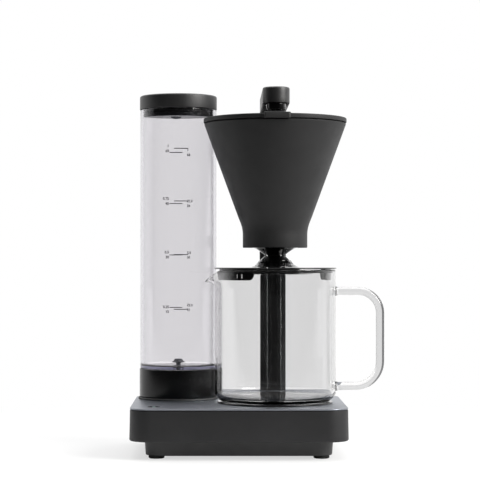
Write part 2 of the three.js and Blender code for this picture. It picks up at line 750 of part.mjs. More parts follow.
// ---------------------------------------------------------------- filter holder
// Cone on a necked foot, with a tongue to the rear.
function filterHolder() {
  const slope = (RIM.radius - CONE.radius) / (RIM.z - CONE.z);
  const neck = NECK.radius;
  const profile = [
    [neck, NECK.bottom + 0.5], [neck, NECK.top], [neck + 0.5, NECK.top + 4],
    [neck + 1.6, NECK.top + 8.4], [neck + 3.2, NECK.top + 13], [CONE.radius + 0.6, CONE.z + 1.7],
    [RIM.radius, RIM.z - 0.5], [RIM.radius - 0.5, RIM.z], [RIM.radius - HOLDER_WALL, RIM.z],
    [CONE.radius - HOLDER_WALL + slope, CONE.z + 1], [30, 233], [9, 228.4], [5, 227.8],
    [5, 224.4], [29.8, 224.4], [30.8, 223.4], [30.8, 213.3], [24.4, 213.3],
    [24.4, NECK.bottom], [neck - 0.5, NECK.bottom],
  ];
  const { halfWidth, bottom, top } = TONGUE;
  const tongue = block(around(BREW.x, halfWidth), [BREW.y + 31.6, 56], [bottom, top]);
  return ring(profile, BREW, 30).add(tongue);
}

// Lid with a lift tab at the front and an opening under the outlet.
function filterLid() {
  const { radius, bottom, top } = FILTER_LID;
  const profile = [
    [0, top], [radius - 0.9, top], [radius, top - 0.9], [radius, bottom], [70.2, bottom],
    [68.3, 335], [66.6, 335], [68.2, top - 2.2], [0, top - 2.2],
  ];
  const tabBounds = [...around(BREW.x, 13.5), BREW.y - 76.2, BREW.y - 70];
  const tab = loft([
    level(tabBounds, 2, bottom - 0.5, 3),
    level(tabBounds, 2, top + 0.6, 3),
    level(grown(tabBounds, -0.6), 1.6, top + 1, 3),
  ]);
  return lathe(profile, BREW, 30).add(tab).subtract(disc(OUTLET, 13, 330, 350, 18));
}

function dripValve() {
  const { radius, bottom } = NOSE;
  const profile = [
    [3.2, bottom], [WAIST_RADIUS - 0.4, bottom], [WAIST_RADIUS, bottom + 0.4], [12.6, 205.2],
    [16.2, 207.6], [20.2, 209.7], [radius, NECK.bottom - 0.1], [radius, 213.6], [27, 213.6],
    [27, 215.2], [7.6, 215.2], [7.6, 221], [3.2, 221],
  ];
  return ring(profile, BREW, 26);
}

const dripValveSpring = () =>
  coil({
    axis: BREW, bottom: 215.5, top: 224.1, radius: 19, wire: 0.7, turns: 2, stepsPerTurn: 14,
  });

// ---------------------------------------------------------------- jug
// Pulls the lip of the upright body out and down into a pouring spout on the left.
function pullSpout(geometry) {
  const position = geometry.attributes.position;
  for (let i = 0; i < position.count; i++) {
    const x = position.getX(i);
    const y = position.getY(i);
    const z = position.getZ(i);
    const radius = Math.hypot(x, y);
    if (z <= SPOUT.bottom || radius < 50) continue;
    const offCentre = Math.abs(Math.atan2(y, -x)) / radians(SPOUT.halfAngle);
    if (offCentre >= 1) continue;
    const weight = Math.pow(0.5 + 0.5 * Math.cos(Math.PI * offCentre), 1.25);
    const rise = (z - SPOUT.bottom) / (JUG.top - SPOUT.bottom);
    const scale = (radius + weight * SPOUT.reach * Math.pow(rise, 2)) / radius;
    const drop = weight * SPOUT.drop * Math.pow(rise, 1.6);
    position.setXYZ(i, x * scale, y * scale, z - drop);
  }
  return geometry;
}

function jugHandle() {
  const { x, top, bottom, radius, topBend, bottomBend } = HANDLE;
  const { y } = BREW;
  // the rod flares where it meets the body
  const reaches = [61.5, 64.5, 68];
  const flare = [5.6, 4.7, radius];
  const path = [
    ...reaches.map((reach) => [BREW.x + reach, y, top]),
    ...arc([x - topBend, y, top - topBend], UP, RIGHT, topBend, 0, 90, 6),
    ...arc([x - bottomBend, y, bottom + bottomBend], RIGHT, DOWN, bottomBend, 0, 90, 6),
    ...reaches.map((reach) => [BREW.x + reach, y, bottom]).reverse(),
  ];
  const radii = path.map((point, i) => flare[Math.min(i, path.length - 1 - i, 2)]);
  return rod(path, radii, 12);
}

function jugGlass() {
  const { radius, bore, bottom, top } = JUG;
  const spoutLevels = [SPOUT.bottom, 171, 177, 182.5, top - 1];
  const profile = [
    [0, bottom + 1], [50, bottom + 0.8], [54.5, bottom], [57.8, bottom], [60.8, bottom + 1.4],
    [62.2, bottom + 4.2], [radius, bottom + 9],
    ...spoutLevels.map((z) => [radius, z]),
    [radius - 1.2, top],
    ...spoutLevels.map((z) => [bore, z]).reverse(),
    [bore, bottom + 10], [bore - 1.8, bottom + 6], [bore - 5.4, bottom + 4.3], [0, bottom + 4],
  ];
  const body = pullSpout(turnedUpright(profile, 30)).translate(BREW.x, BREW.y, 0);
  return solidFrom(body).add(jugHandle());
}

// Thin disc and dished hub, with a ring and two deeper skirts hanging below.
function jugLid() {
  const { radius, bottom, top } = LID;
  const profile = [
    [4.6, top], [radius - 0.5, top], [radius, top - 0.5], [radius, bottom + 0.7],
    [radius - 0.3, bottom + 0.4], [26, bottom + 0.4], [25.4, 184.8], [39.4, 184.2],
    [39.4, 183.8], [20, 182.5], [4.6, 182.5],
  ];
  const inner = 56.4;
  const outer = 58.1;
  // lower edge of a skirt, rounded up over the given share of its length at each end
  const roundedEnds = (share) => (t) => {
    const toEnd = Math.max(0, 1 - Math.min(t, 1 - t) / share);
    return 184 - (184 - 177.5) * Math.sqrt(1 - toEnd * toEnd);
  };
  const skirt = (start, end, share, steps) =>
    curvedWall({
      axis: BREW, inner, outer, start, end, bottomAt: roundedEnds(share), top: bottom + 0.9, steps,
    });
  const band = [[inner, 185.3], [outer, 185.3], [outer, 187], [inner, 187]];
  let body = ring(profile, BREW, 30)
    .add(skirt(187, 247, 0.1, 16))
    .add(skirt(-30, 30, 0.06, 14))
    .add(ring(band, BREW, 30));
  // slots through the skirt on the left, towards the front
  for (const degrees of [29, 35, 41, 47, 53]) {
    const slot = new THREE.BoxGeometry(12, 1.9, 4.6)
      .translate(-57.4, 0, 181.5)
      .rotateZ(radians(degrees))
      .translate(BREW.x, BREW.y, 0);
    body = body.subtract(solidFrom(slot));
  }
  return body;
}

const jugLidGasket = () => ring([[58.7, 184.9], [59.8, 185.4], [58.7, 186.9]], BREW, 30);

function jugLidDome() {
  const profile = [
    [4, LID.top + GAP], [20.2, LID.top + GAP], [20.2, 191.2], [15.2, 198.2], [11.2, 201.6],
    [WAIST_RADIUS - 0.2, DOME_TOP], [8.4, DOME_TOP], [4, 198.6],
  ];
  return ring(profile, BREW, 26);
}

// Clear flare round the foot of the dome.
function jugLidFlare() {
  const profile = [
    [22.8, LID.top + GAP], [24.2, LID.top + GAP], [24.2, 191], [20.6, 192.9], [17.5, 196.4],
    [16.4, 198.4], [15.65, 198.4], [16.9, 196.2], [19.8, 192.6],
  ];
  return ring(profile, BREW, 26);
}

// ---------------------------------------------------------------- assembly
function assembly(name, parent) {
  const child = new THREE.Group();
  child.name = name;
  parent?.add(child);
  return child;
}

// Each piece is [name, solid, material].
function addPieces(parent, pieces) {
  for (const [name, body, finish] of pieces) {
    const mesh = new THREE.Mesh(geometryOf(body), finish);
    mesh.name = name;
    parent.add(mesh);
  }
}

const group = assembly("drip_coffee_brewer");
const brewer = assembly("brewer", group);
brewer.position.set(-FOOTPRINT.x, -FOOTPRINT.y, 0);

addPieces(assembly("base_assembly", brewer), [
  ["base_housing", baseHousing(), FINISH.charcoal],
  ["base_top_plate", baseTopPlate(), FINISH.topPlate],
  ["base_pan", basePan(), FINISH.pan],
  ...FEET.map((place) => ["foot_" + place.name, foot(place), FINISH.rubber]),
  ...PAN_SCREWS.map((place) => ["pan_screw_" + place.name, panScrew(place), FINISH.steel]),
  ["hot_plate", hotPlate(), FINISH.enamel],
  ["heater_block", heaterBlock(), FINISH.aluminium],
  ["thermostat", thermostat(), FINISH.grey],
  ["thermal_fuse", thermalFuse(), FINISH.grey],
  ["tank_socket", tankSocket(), FINISH.pan],
  ["socket_seal", socketSeal(), FINISH.rubber],
  ["tank_outlet_hose", tankOutletHose(), FINISH.silicone],
  ["check_valve", checkValve(), FINISH.grey],
  ["heater_inlet_hose", heaterInletHose(), FINISH.silicone],
  ["heater_outlet_hose", heaterOutletHose(), FINISH.silicone],
  ["control_board", controlBoard(), FINISH.board],
  ["power_switch", powerSwitch(), FINISH.grey],
  ["relay", relay(), FINISH.board],
  ["heater_leads", heaterLeads(), FINISH.leads],
  ["mains_leads", mainsLeads(), FINISH.leads],
  ["cord_strain_relief", cordStrainRelief(), FINISH.rubber],
  ["mains_cord", mainsCord(), FINISH.rubber],
  ["power_button", powerButton(), FINISH.gloss],
  ["button_light", buttonLight(), FINISH.lens],
]);

addPieces(assembly("column_assembly", brewer), [
  ["column_shell", columnShell(), FINISH.gloss],
  ...COLUMN_SCREWS.map(([name, z]) => ["column_screw_" + name, columnScrew(z), FINISH.steel]),
  ["column_rear_cover", columnRearCover(), FINISH.gloss],
  ["arm_shell", armShell(), FINISH.charcoal],
  ["arm_lower_cover", armLowerCover(), FINISH.charcoal],
  ["outlet_spout", outletSpout(), FINISH.gloss],
  ["riser_tube", riserTube(), FINISH.silicone],
  ["holder_bracket", holderBracket(), FINISH.gloss],
]);

const tank = assembly("tank_assembly", brewer);
addPieces(assembly("tank_cap_assembly", tank), [
  ["tank_cap", tankCap(), FINISH.charcoal],
  ["tank_cap_seal", tankCapSeal(), FINISH.rubber],
  ["tank_cap_vent", tankCapVent(), FINISH.grey],
  ["tank_cap_plate", tankCapPlate(), FINISH.pale],
]);
addPieces(tank, [
  ["water_tank", waterTank(), FINISH.tank],
  ["tank_base_cup", tankBaseCup(), FINISH.gloss],
  ["tank_valve", tankValve(), FINISH.grey],
  ["tank_valve_spring", tankValveSpring(), FINISH.steel],
]);

addPieces(assembly("filter_holder_assembly", brewer), [
  ["filter_holder", filterHolder(), FINISH.charcoal],
  ["filter_lid", filterLid(), FINISH.charcoal],
  ["drip_valve", dripValve(), FINISH.gloss],
  ["drip_valve_spring", dripValveSpring(), FINISH.steel],
]);

const jug = assembly("jug_assembly", brewer);
addPieces(assembly("jug_lid_assembly", jug), [
  ["jug_lid", jugLid(), FINISH.gloss],
  ["jug_lid_gasket", jugLidGasket(), FINISH.rubber],
  ["jug_lid_dome", jugLidDome(), FINISH.gloss],
  ["jug_lid_flare", jugLidFlare(), FINISH.tank],
]);
addPieces(jug, [["jug_glass", jugGlass(), FINISH.glass]]);

export default group;
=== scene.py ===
# A compact drip coffee brewer: the fine visual model, built around its CAD frame.
# Z is up. The brewer stands on z = 0 and faces -Y, with its column at the rear (+Y).
# The jug's handle points to +X and its pouring lip to -X. Pieces are drawn in millimetres
# about the centre of the base; materials, lights and the camera use metres.
import math
import bmesh
import bpy
from mathutils import Matrix, Vector


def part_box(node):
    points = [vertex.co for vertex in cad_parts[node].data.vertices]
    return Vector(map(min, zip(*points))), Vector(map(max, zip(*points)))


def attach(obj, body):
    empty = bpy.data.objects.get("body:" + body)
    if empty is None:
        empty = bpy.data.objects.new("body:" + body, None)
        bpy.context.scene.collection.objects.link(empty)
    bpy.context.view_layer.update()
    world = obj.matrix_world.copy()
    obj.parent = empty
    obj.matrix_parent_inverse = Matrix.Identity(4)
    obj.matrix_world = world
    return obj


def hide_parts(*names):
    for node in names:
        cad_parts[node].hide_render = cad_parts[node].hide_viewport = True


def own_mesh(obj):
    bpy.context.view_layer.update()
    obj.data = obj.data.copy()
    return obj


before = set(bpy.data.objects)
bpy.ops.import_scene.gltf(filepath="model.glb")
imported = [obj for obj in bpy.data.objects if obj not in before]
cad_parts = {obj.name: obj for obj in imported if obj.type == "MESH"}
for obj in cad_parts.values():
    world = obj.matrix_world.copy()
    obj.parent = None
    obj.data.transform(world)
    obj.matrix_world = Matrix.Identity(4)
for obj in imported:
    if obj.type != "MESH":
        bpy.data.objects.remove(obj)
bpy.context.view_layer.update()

MM = 0.001
scene = bpy.context.scene

# ------------------------------------------------------------------ places taken from the frame
base_lo, base_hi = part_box("base_housing")
OFFSET = Vector(((base_lo.x + base_hi.x) / 2, (base_lo.y + base_hi.y) / 2, 0.0))


def local_box(node):
    """A frame node's bounds about the base centre, in metres."""
    lo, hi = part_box(node)
    return lo - OFFSET, hi - OFFSET


def box_mm(node):
    lo, hi = local_box(node)
    return lo / MM, hi / MM


def middle(node):
    lo, hi = local_box(node)
    return (lo + hi) / 2 / MM


def axis_of(node):
    centre = middle(node)
    return round(centre.x, 1), round(centre.y, 1)


def radius_of(node):
    lo, hi = local_box(node)
    return (hi.y - lo.y) / 2 / MM


def top(node):
    return local_box(node)[1].z / MM


def bottom(node):
    return local_box(node)[0].z / MM


TANK = TANK_X, TANK_Y = axis_of("water_tank")
JUG = JUG_X, JUG_Y = axis_of("jug_lid_dome")      # the filter holder shares this axis
BUTTON = axis_of("power_button")
arm_lo, arm_hi = box_mm("arm_shell")
col_lo, col_hi = box_mm("column_shell")
ARM_HALF = (arm_hi.x - arm_lo.x) / 2
ARM_X = (arm_lo.x + arm_hi.x) / 2
HEAD_Y = arm_lo.y + ARM_HALF                      # centre of the arm's round front end
OUTLET = (ARM_X, HEAD_Y)


# ------------------------------------------------------------------ shader helpers
def feed(tree, target, inputs):
    """Link or set each listed input of a node."""
    for key, value in inputs.items():
        if hasattr(value, "is_linked"):
            tree.links.new(value, target.inputs[key])
        else:
            target.inputs[key].default_value = value


def add_node(tree, kind, inputs={}, **settings):
    made = tree.nodes.new(kind)
    for key, value in settings.items():
        setattr(made, key, value)
    feed(tree, made, inputs)
    return made


def new_material(name):
    material = bpy.data.materials.new(name)
    material.use_nodes = True
    tree = material.node_tree
    return material, tree, tree.nodes["Principled BSDF"]


def calc(tree, operation, first, second):
    return add_node(tree, "ShaderNodeMath", {0: first, 1: second}, operation=operation).outputs[0]


def map_range(tree, value, source, target=(0.0, 1.0), smooth=False):
    return add_node(tree, "ShaderNodeMapRange", {
        "From Min": source[0], "From Max": source[1],
        "To Min": target[0], "To Max": target[1], "Value": value,
    }, interpolation_type="SMOOTHSTEP" if smooth else "LINEAR").outputs["Result"]


def object_coords(tree, scale=(1.0, 1.0, 1.0)):
    source = add_node(tree, "ShaderNodeTexCoord").outputs["Object"]
    return add_node(tree, "ShaderNodeMapping",
                    {"Scale": scale, "Vector": source}).outputs["Vector"]


def noise(tree, place, scale, detail=3.0, rough=0.5):
    return add_node(tree, "ShaderNodeTexNoise", {
        "Scale": scale, "Detail": detail, "Roughness": rough, "Vector": place}).outputs["Fac"]


def tinted(tree, value, dark, light):
    """Run from the dark tint to the light one across the middle of the noise."""
    made = add_node(tree, "ShaderNodeValToRGB", {"Fac": value})
    stops = made.color_ramp.elements
    for i, position, colour in ((0, 0.35, dark), (1, 0.65, light)):
        stops[i].position = position
        stops[i].color = (*colour, 1)
    return made.outputs["Color"]


def roughness(tree, value, rough):
    return map_range(tree, value, source=(0.3, 0.7), target=rough)


def bump(tree, height, strength, distance):
    return add_node(tree, "ShaderNodeBump", {
        "Strength": strength, "Distance": distance, "Height": height}).outputs["Normal"]


# ------------------------------------------------------------------ materials
def plastic(name, dark, light, rough, grain=1600, strength=0.25, depth=4e-5,
            specular=0.5, coat=0.0, mottle=28):
    """Moulded plastic: mottled tint and roughness, and a fine bump of the grain's scale."""
    material, tree, shader = new_material(name)
    place = object_coords(tree)
    feed(tree, shader, {
        "Base Color": tinted(tree, noise(tree, place, mottle, detail=4), dark, light),
        "Roughness": roughness(tree, noise(tree, place, mottle * 2.3), rough),
        "Specular IOR Level": specular,
        "Coat Weight": coat,
        "Coat Roughness": 0.04,
        "Normal": bump(tree, noise(tree, place, grain, detail=2, rough=0.6), strength, depth),
    })
    return material


def metal(name, dark, light, rough, stretch=(1, 1, 1), scale=700, strength=0.12,
          depth=1.5e-5, metallic=1.0):
    """Metal or enamel; stretch draws the texture out into a brushed grain."""
    material, tree, shader = new_material(name)
    place = object_coords(tree, stretch)
    feed(tree, shader, {
        "Base Color": tinted(tree, noise(tree, place, scale, detail=5, rough=0.65), dark, light),
        "Roughness": roughness(tree, noise(tree, place, scale * 0.37), rough),
        "Metallic": metallic,
        "Normal": bump(tree, noise(tree, place, scale * 1.9), strength, depth),
    })
    return material


CHARCOAL = plastic(
    "charcoal_moulded", dark=(0.0088, 0.0088, 0.0096), light=(0.0118, 0.0118, 0.0128),
    rough=(0.50, 0.60), grain=2100, strength=0.35, depth=3.5e-5, specular=0.42)
CONE_MAT = plastic(
    "charcoal_cone", dark=(0.0175, 0.0175, 0.0180), light=(0.0215, 0.0215, 0.0220),
    rough=(0.52, 0.62), grain=2400, strength=0.30, depth=3e-5, specular=0.36)
CAP_MAT = plastic(
    "charcoal_cap", dark=(0.0115, 0.0115, 0.0125), light=(0.0155, 0.0155, 0.0160),
    rough=(0.42, 0.50), grain=2300, strength=0.30, depth=3e-5, specular=0.7)
ARM_MAT = plastic(
    "charcoal_arm", dark=(0.0135, 0.0135, 0.0145), light=(0.0175, 0.0175, 0.0180),
    rough=(0.38, 0.46), grain=2300, strength=0.30, depth=3e-5, specular=0.8)
# the cap's plastic made darker for its plug, as painted shade inside the tank
PLUG_SHADE_MAT = plastic(
    "cap_plug_painted_shade", dark=(0.0022, 0.0024, 0.0030), light=(0.0034, 0.0036, 0.0044),
    rough=(0.45, 0.6), grain=2300, strength=0.30, depth=3e-5, specular=0.2)
SEAL_MAT = plastic(
    "black_lip_seal", dark=(0.0020, 0.0020, 0.0022), light=(0.0032, 0.0032, 0.0034),
    rough=(0.6, 0.75), grain=900, strength=0.3, depth=4e-5, specular=0.15)
PAN = plastic(
    "pan_moulded", dark=(0.026, 0.026, 0.027), light=(0.032, 0.032, 0.033),
    rough=(0.50, 0.62), grain=1300, strength=0.4, depth=5e-5)
CUP = plastic(
    "satin_black_cup", dark=(0.0020, 0.0020, 0.0022), light=(0.0032, 0.0032, 0.0035),
    rough=(0.20, 0.27), grain=3000, strength=0.10, depth=1.5e-5, specular=0.34)
GLOSS = plastic(
    "gloss_black", dark=(0.0014, 0.0014, 0.0016), light=(0.0024, 0.0024, 0.0026),
    rough=(0.045, 0.09), grain=90, strength=0.05, depth=6e-5, coat=0.4, mottle=9)
COLUMN = plastic(
    "gloss_black_column", dark=(0.0014, 0.0014, 0.0016), light=(0.0024, 0.0024, 0.0026),
    rough=(0.10, 0.16), grain=90, strength=0.05, depth=6e-5, specular=0.4, mottle=9)
RUBBER = plastic(
    "black_rubber", dark=(0.010, 0.010, 0.010), light=(0.016, 0.016, 0.016),
    rough=(0.70, 0.85), grain=900, strength=0.45, depth=6e-5, specular=0.35)
GREY = plastic("grey_moulded", dark=(0.095, 0.098, 0.104), light=(0.125, 0.128, 0.134),
               rough=(0.38, 0.5), grain=1700)
SILICONE = plastic("silicone_tube", dark=(0.55, 0.53, 0.49), light=(0.63, 0.61, 0.57),
                   rough=(0.45, 0.6), grain=500, strength=0.2, depth=8e-5)
BOARD = plastic("solder_mask", dark=(0.012, 0.085, 0.035), light=(0.02, 0.12, 0.05),
                rough=(0.3, 0.42), grain=260, strength=0.3, depth=5e-5)
LEAD = plastic("lead_sleeve", dark=(0.20, 0.035, 0.02), light=(0.26, 0.05, 0.028),
               rough=(0.5, 0.62), grain=420, strength=0.5, depth=1e-4)
VENT_MAT = plastic("vent_blue_grey", dark=(0.045, 0.052, 0.064), light=(0.060, 0.068, 0.082),
                   rough=(0.45, 0.55), grain=1700, strength=0.2)
PALE = plastic("pale_moulded", dark=(0.36, 0.36, 0.37), light=(0.41, 0.41, 0.42),
               rough=(0.40, 0.5), grain=1700, strength=0.2)
RELAY = plastic("relay_case", dark=(0.02, 0.035, 0.075), light=(0.03, 0.045, 0.095),
                rough=(0.35, 0.45))
INK = plastic("print_ink", dark=(0.010, 0.010, 0.011), light=(0.016, 0.016, 0.017),
              rough=(0.6, 0.75), grain=4000, strength=0.2, depth=1e-5)

PLATE_MAT = metal("top_plate_satin", dark=(0.225, 0.240, 0.270), light=(0.270, 0.286, 0.320),
                  rough=(0.33, 0.42), stretch=(0.25, 6.0, 6.0), scale=260, strength=0.10,
                  depth=1.2e-5, metallic=0.92)
STEEL = metal("zinc_steel", dark=(0.46, 0.47, 0.48), light=(0.62, 0.63, 0.64),
              rough=(0.22, 0.34), scale=900)
CAST = metal("cast_aluminium", dark=(0.36, 0.37, 0.38), light=(0.52, 0.53, 0.54),
             rough=(0.45, 0.62), scale=520, strength=0.6, depth=1e-4)
ENAMEL = metal("hot_plate_coating", dark=(0.008, 0.008, 0.009), light=(0.013, 0.013, 0.014),
               rough=(0.07, 0.12), scale=1500, depth=4e-6, metallic=0.0)


def clear(name, tint, ior, absorb, density, shadow, wave=7.0, ripple=6e-5, edge=0.0,
          handle_x=None, lip_x=None):
    """Clear wall: refracts, colours with depth, and lets soft light through in shadows.

    The edge setting is painted shade: it darkens the wall's colour where the wall is seen
    edge-on. The jug also gives handle_x, past which lies its handle, and lip_x, below which
    its pouring lip bends light less.
    """
    material, tree, shader = new_material(name)
    place = object_coords(tree, (1.0, 1.0, 0.18))
    body = tinted(tree, noise(tree, place, wave * 3, detail=2), [x * 0.99 for x in tint], tint)
    feed(tree, shader, {
        "Transmission Weight": 1.0, "IOR": ior, "Roughness": 0.0,
        "Normal": bump(tree, noise(tree, place, wave, detail=1.5), 0.25, ripple),
    })

    def op(kind, first, second):
        return calc(tree, kind, first, second)

    def step(value, start, end):
        return map_range(tree, value, (start, end), smooth=True)

    facing = add_node(tree, "ShaderNodeLayerWeight", {"Blend": 0.5}).outputs["Facing"]
    # painted shade: the wall's colour runs towards near-black where the wall is seen edge-on
    dark = op("MULTIPLY", op("POWER", facing, 2.0), edge)
    if handle_x is not None:
        geometry = add_node(tree, "ShaderNodeNewGeometry")
        pos_x, normal_x = (
            add_node(tree, "ShaderNodeSeparateXYZ", {0: geometry.outputs[key]}).outputs["X"]
            for key in ("Position", "Normal"))
        # painted shade: the handle's colour is darker along its outline, most of all on its outer
        # side
        on_handle = op("GREATER_THAN", pos_x, handle_x)
        outline = op("ADD", op("MULTIPLY", op("POWER", facing, 1.5), 0.50), 0.11)
        band = op("MULTIPLY", step(normal_x, 0.30, 0.46),
                  op("SUBTRACT", 1.0, step(normal_x, 0.86, 0.97)))
        outer = op("MULTIPLY", op("MULTIPLY", band, step(facing, 0.03, 0.10)), 0.96)
        dark = op("MAXIMUM", dark, op("MULTIPLY", on_handle, op("MAXIMUM", outline, outer)))
        feed(tree, shader, {"IOR": map_range(tree, pos_x, (lip_x - 0.0015, lip_x), (1.16, ior))})
    # the painted shade is mixed into the wall's colour here, towards near-black
    shade = add_node(tree, "ShaderNodeMix", {
        "Factor": dark, "A": body, "B": (0.02, 0.02, 0.022, 1)}, data_type="RGBA")
    feed(tree, shader, {"Base Color": shade.outputs["Result"]})

    through = add_node(tree, "ShaderNodeBsdfTransparent", {"Color": (*shadow, 1)})
    path = add_node(tree, "ShaderNodeLightPath")
    surface = add_node(tree, "ShaderNodeMixShader", {
        0: path.outputs["Is Shadow Ray"], 1: shader.outputs[0], 2: through.outputs[0]})
    depth = add_node(tree, "ShaderNodeVolumeAbsorption", {
        "Color": (*absorb, 1), "Density": density})
    feed(tree, tree.nodes["Material Output"], {
        "Surface": surface.outputs[0], "Volume": depth.outputs[0]})
    return material


# each clear wall's edge setting is how much shade is painted where it is seen edge-on
GLASS = clear("jug_glass_clear", tint=(0.895, 0.893, 0.895), ior=1.45,
              absorb=(0.72, 0.73, 0.73), density=30.0, shadow=(0.95, 0.96, 0.96), edge=0.05,
              handle_x=OFFSET.x + 0.1035, lip_x=OFFSET.x - 0.0252)
TANK_MAT = clear("tank_clear_plastic", tint=(0.925, 0.915, 0.918), ior=1.47,
                 absorb=(0.70, 0.70, 0.78), density=60.0, shadow=(0.90, 0.90, 0.93),
                 wave=5.0, ripple=1e-5, edge=0.30)
FLARE_MAT = clear("lid_flare_clear", tint=(0.97, 0.97, 0.97), ior=1.40,
                  absorb=(0.75, 0.75, 0.75), density=20.0, shadow=(0.92, 0.92, 0.92))


def light_guide():
    """The pale green lens of the button light."""
    material, tree, shader = new_material("button_light_guide")
    feed(tree, shader, {
        "Base Color": tinted(tree, noise(tree, object_coords(tree), 900, detail=2),
                             dark=(0.30, 0.46, 0.42), light=(0.42, 0.60, 0.54)),
        "Roughness": 0.3, "Transmission Weight": 0.2})
    return material


LENS = light_guide()


# ------------------------------------------------------------------ mesh helpers
def add_object(mesh):
    shape = bpy.data.objects.new("shape", mesh)
    scene.collection.objects.link(shape)
    return shape


def solid(verts, faces, weld=True):
    """An object from millimetre points, with its faces turned outward."""
    mesh = bpy.data.meshes.new("shape")
    mesh.from_pydata([(x * MM, y * MM, z * MM) for x, y, z in verts], [], faces)
    mesh.validate()
    work = bmesh.new()
    work.from_mesh(mesh)
    if weld:
        bmesh.ops.remove_doubles(work, verts=work.verts, dist=1e-7)
    bmesh.ops.recalc_face_normals(work, faces=work.faces)
    if work.calc_volume(signed=True) < 0:
        bmesh.ops.reverse_faces(work, faces=work.faces)
    work.to_mesh(mesh)
    work.free()
    return add_object(mesh)


def combine(shape, tool, operation):
    modifier = shape.modifiers.new("b", "BOOLEAN")
    modifier.object = tool
    modifier.operation = operation
    modifier.solver = "EXACT"
    bpy.context.view_layer.update()
    graph = bpy.context.evaluated_depsgraph_get()
    mesh = bpy.data.meshes.new_from_object(
        shape.evaluated_get(graph), preserve_all_data_layers=False, depsgraph=graph)
    shape.modifiers.clear()
    shape.data = mesh
    mesh.materials.clear()
    mesh.polygons.foreach_set("material_index", [0] * len(mesh.polygons))
    bpy.data.objects.remove(tool)


def cut(shape, *tools):
    for tool in tools:
        combine(shape, tool, "DIFFERENCE")


def join(shape, *tools):
    for tool in tools:
        combine(shape, tool, "UNION")


def finish(shape, name, material, body, node, angle=32):
    """body is what it rides on, node the frame node it replaces, and angle, in degrees, the
    bend above which an edge stays sharp.
    """
    mesh = shape.data
    shape.name = mesh.name = name
    mesh.materials.append(material)
    mesh.transform(Matrix.Translation(OFFSET))
    work = bmesh.new()
    work.from_mesh(mesh)
    bmesh.ops.remove_doubles(work, verts=work.verts, dist=2e-7)
    bmesh.ops.dissolve_degenerate(work, edges=work.edges, dist=1e-8)
    work.to_mesh(mesh)
    work.free()
    mesh.polygons.foreach_set("use_smooth", [True] * len(mesh.polygons))
    mesh.set_sharp_from_angle(angle=math.radians(angle))
    mesh.update()
    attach(shape, body)
    if node:
        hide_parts(node)


def quarter(steps):
    """(sine, cosine) pairs over a quarter turn."""
    turns = [math.radians(90 * k / steps) for k in range(steps + 1)]
    return [(math.sin(a), math.cos(a)) for a in turns]


def soften(profile, closed=True, steps=6):
    """Turn corners given as (r, z, fillet radius) into arcs; plain (r, z) points stay sharp."""
    n = len(profile)
    out = []
    for i, point in enumerate(profile):
        fillet = point[2] if len(point) > 2 else 0
        if fillet <= 0 or (not closed and i in (0, n - 1)):
            out.append(point[:2])
            continue
        corner = Vector(point[:2])
        back = Vector(profile[i - 1][:2]) - corner
        ahead = Vector(profile[(i + 1) % n][:2]) - corner
        room = (back.length, ahead.length)
        back.normalize()
        ahead.normalize()
        angle = back.angle(ahead)
        if angle > math.pi - 0.02:
            out.append(point[:2])
            continue
        reach = min(fillet / math.tan(angle / 2), room[0] * 0.499, room[1] * 0.499)
        radius = reach * math.tan(angle / 2)
        centre = corner + (back + ahead).normalized() * (radius / math.sin(angle / 2))
        start = corner + back * reach - centre
        end = corner + ahead * reach - centre
        first = math.atan2(start.y, start.x)
        sweep = (math.atan2(end.y, end.x) - first + math.pi) % (2 * math.pi) - math.pi
        for k in range(steps + 1):
            turn = first + sweep * k / steps
            out.append((centre.x + radius * math.cos(turn), centre.y + radius * math.sin(turn)))
    return out


def spline(points, per):
    """A uniform Catmull-Rom curve through (r, z) points, with per steps to each span."""
    knots = [Vector(point) for point in points]
    knots = [knots[0] * 2 - knots[1]] + knots + [knots[-1] * 2 - knots[-2]]
    out = []
    for i in range(1, len(knots) - 2):
        before, start, end, after = knots[i - 1:i + 3]
        for k in range(per):
            s = k / per
            out.append(tuple(0.5 * (
                (2 * start) + (end - before) * s
                + (2 * before - 5 * start + 4 * end - after) * s * s
                + (3 * start - before - 3 * end + after) * s ** 3)))
    out.append(tuple(knots[-2]))
    return out


def lathe(profile, centre, sides=128, steps=6, warp=None):
    """Turn a profile about a vertical axis; it is closed into a ring unless it ends there."""
    on_axis = profile[0][0] < 1e-6 and profile[-1][0] < 1e-6
    x, y = centre
    verts, faces, rows = [], [], []
    for r, z in soften(profile, not on_axis, steps):
        if r < 1e-6:
            rows.append([len(verts)] * sides)
            verts.append((x, y, z))
            continue
        rows.append(range(len(verts), len(verts) + sides))
        for k in range(sides):
            a = 2 * math.pi * k / sides
            out_r, out_z = warp(r, z, a) if warp else (r, z)
            verts.append((x + out_r * math.cos(a), y + out_r * math.sin(a), out_z))
    for i in range(len(rows) - 1 if on_axis else len(rows)):
        low, high = rows[i], rows[(i + 1) % len(rows)]
        for k in range(sides):
            j = (k + 1) % sides
            face = list(dict.fromkeys([low[k], low[j], high[j], high[k]]))
            if len(face) > 2:
                faces.append(face)
    return solid(verts, faces)


def cylinder(centre, radius, z0, z1, sides=96):
    return lathe([(0, z0), (radius, z0), (radius, z1), (0, z1)], centre, sides)


def rrect(x0, x1, y0, y1, radius, z, steps=16):
    """A rounded rectangle, with steps to each corner."""
    out = []
    for x, y, start in ((x1 - radius, y1 - radius, 0), (x0 + radius, y1 - radius, 90),
                        (x0 + radius, y0 + radius, 180), (x1 - radius, y0 + radius, 270)):
        for i in range(steps + 1):
            a = math.radians(start + 90 * i / steps)
            out.append((x + radius * math.cos(a), y + radius * math.sin(a), z))
    return out


def centred(half_x, half_y, radius, z, steps=20):
    return rrect(-half_x, half_x, -half_y, half_y, radius, z, steps)


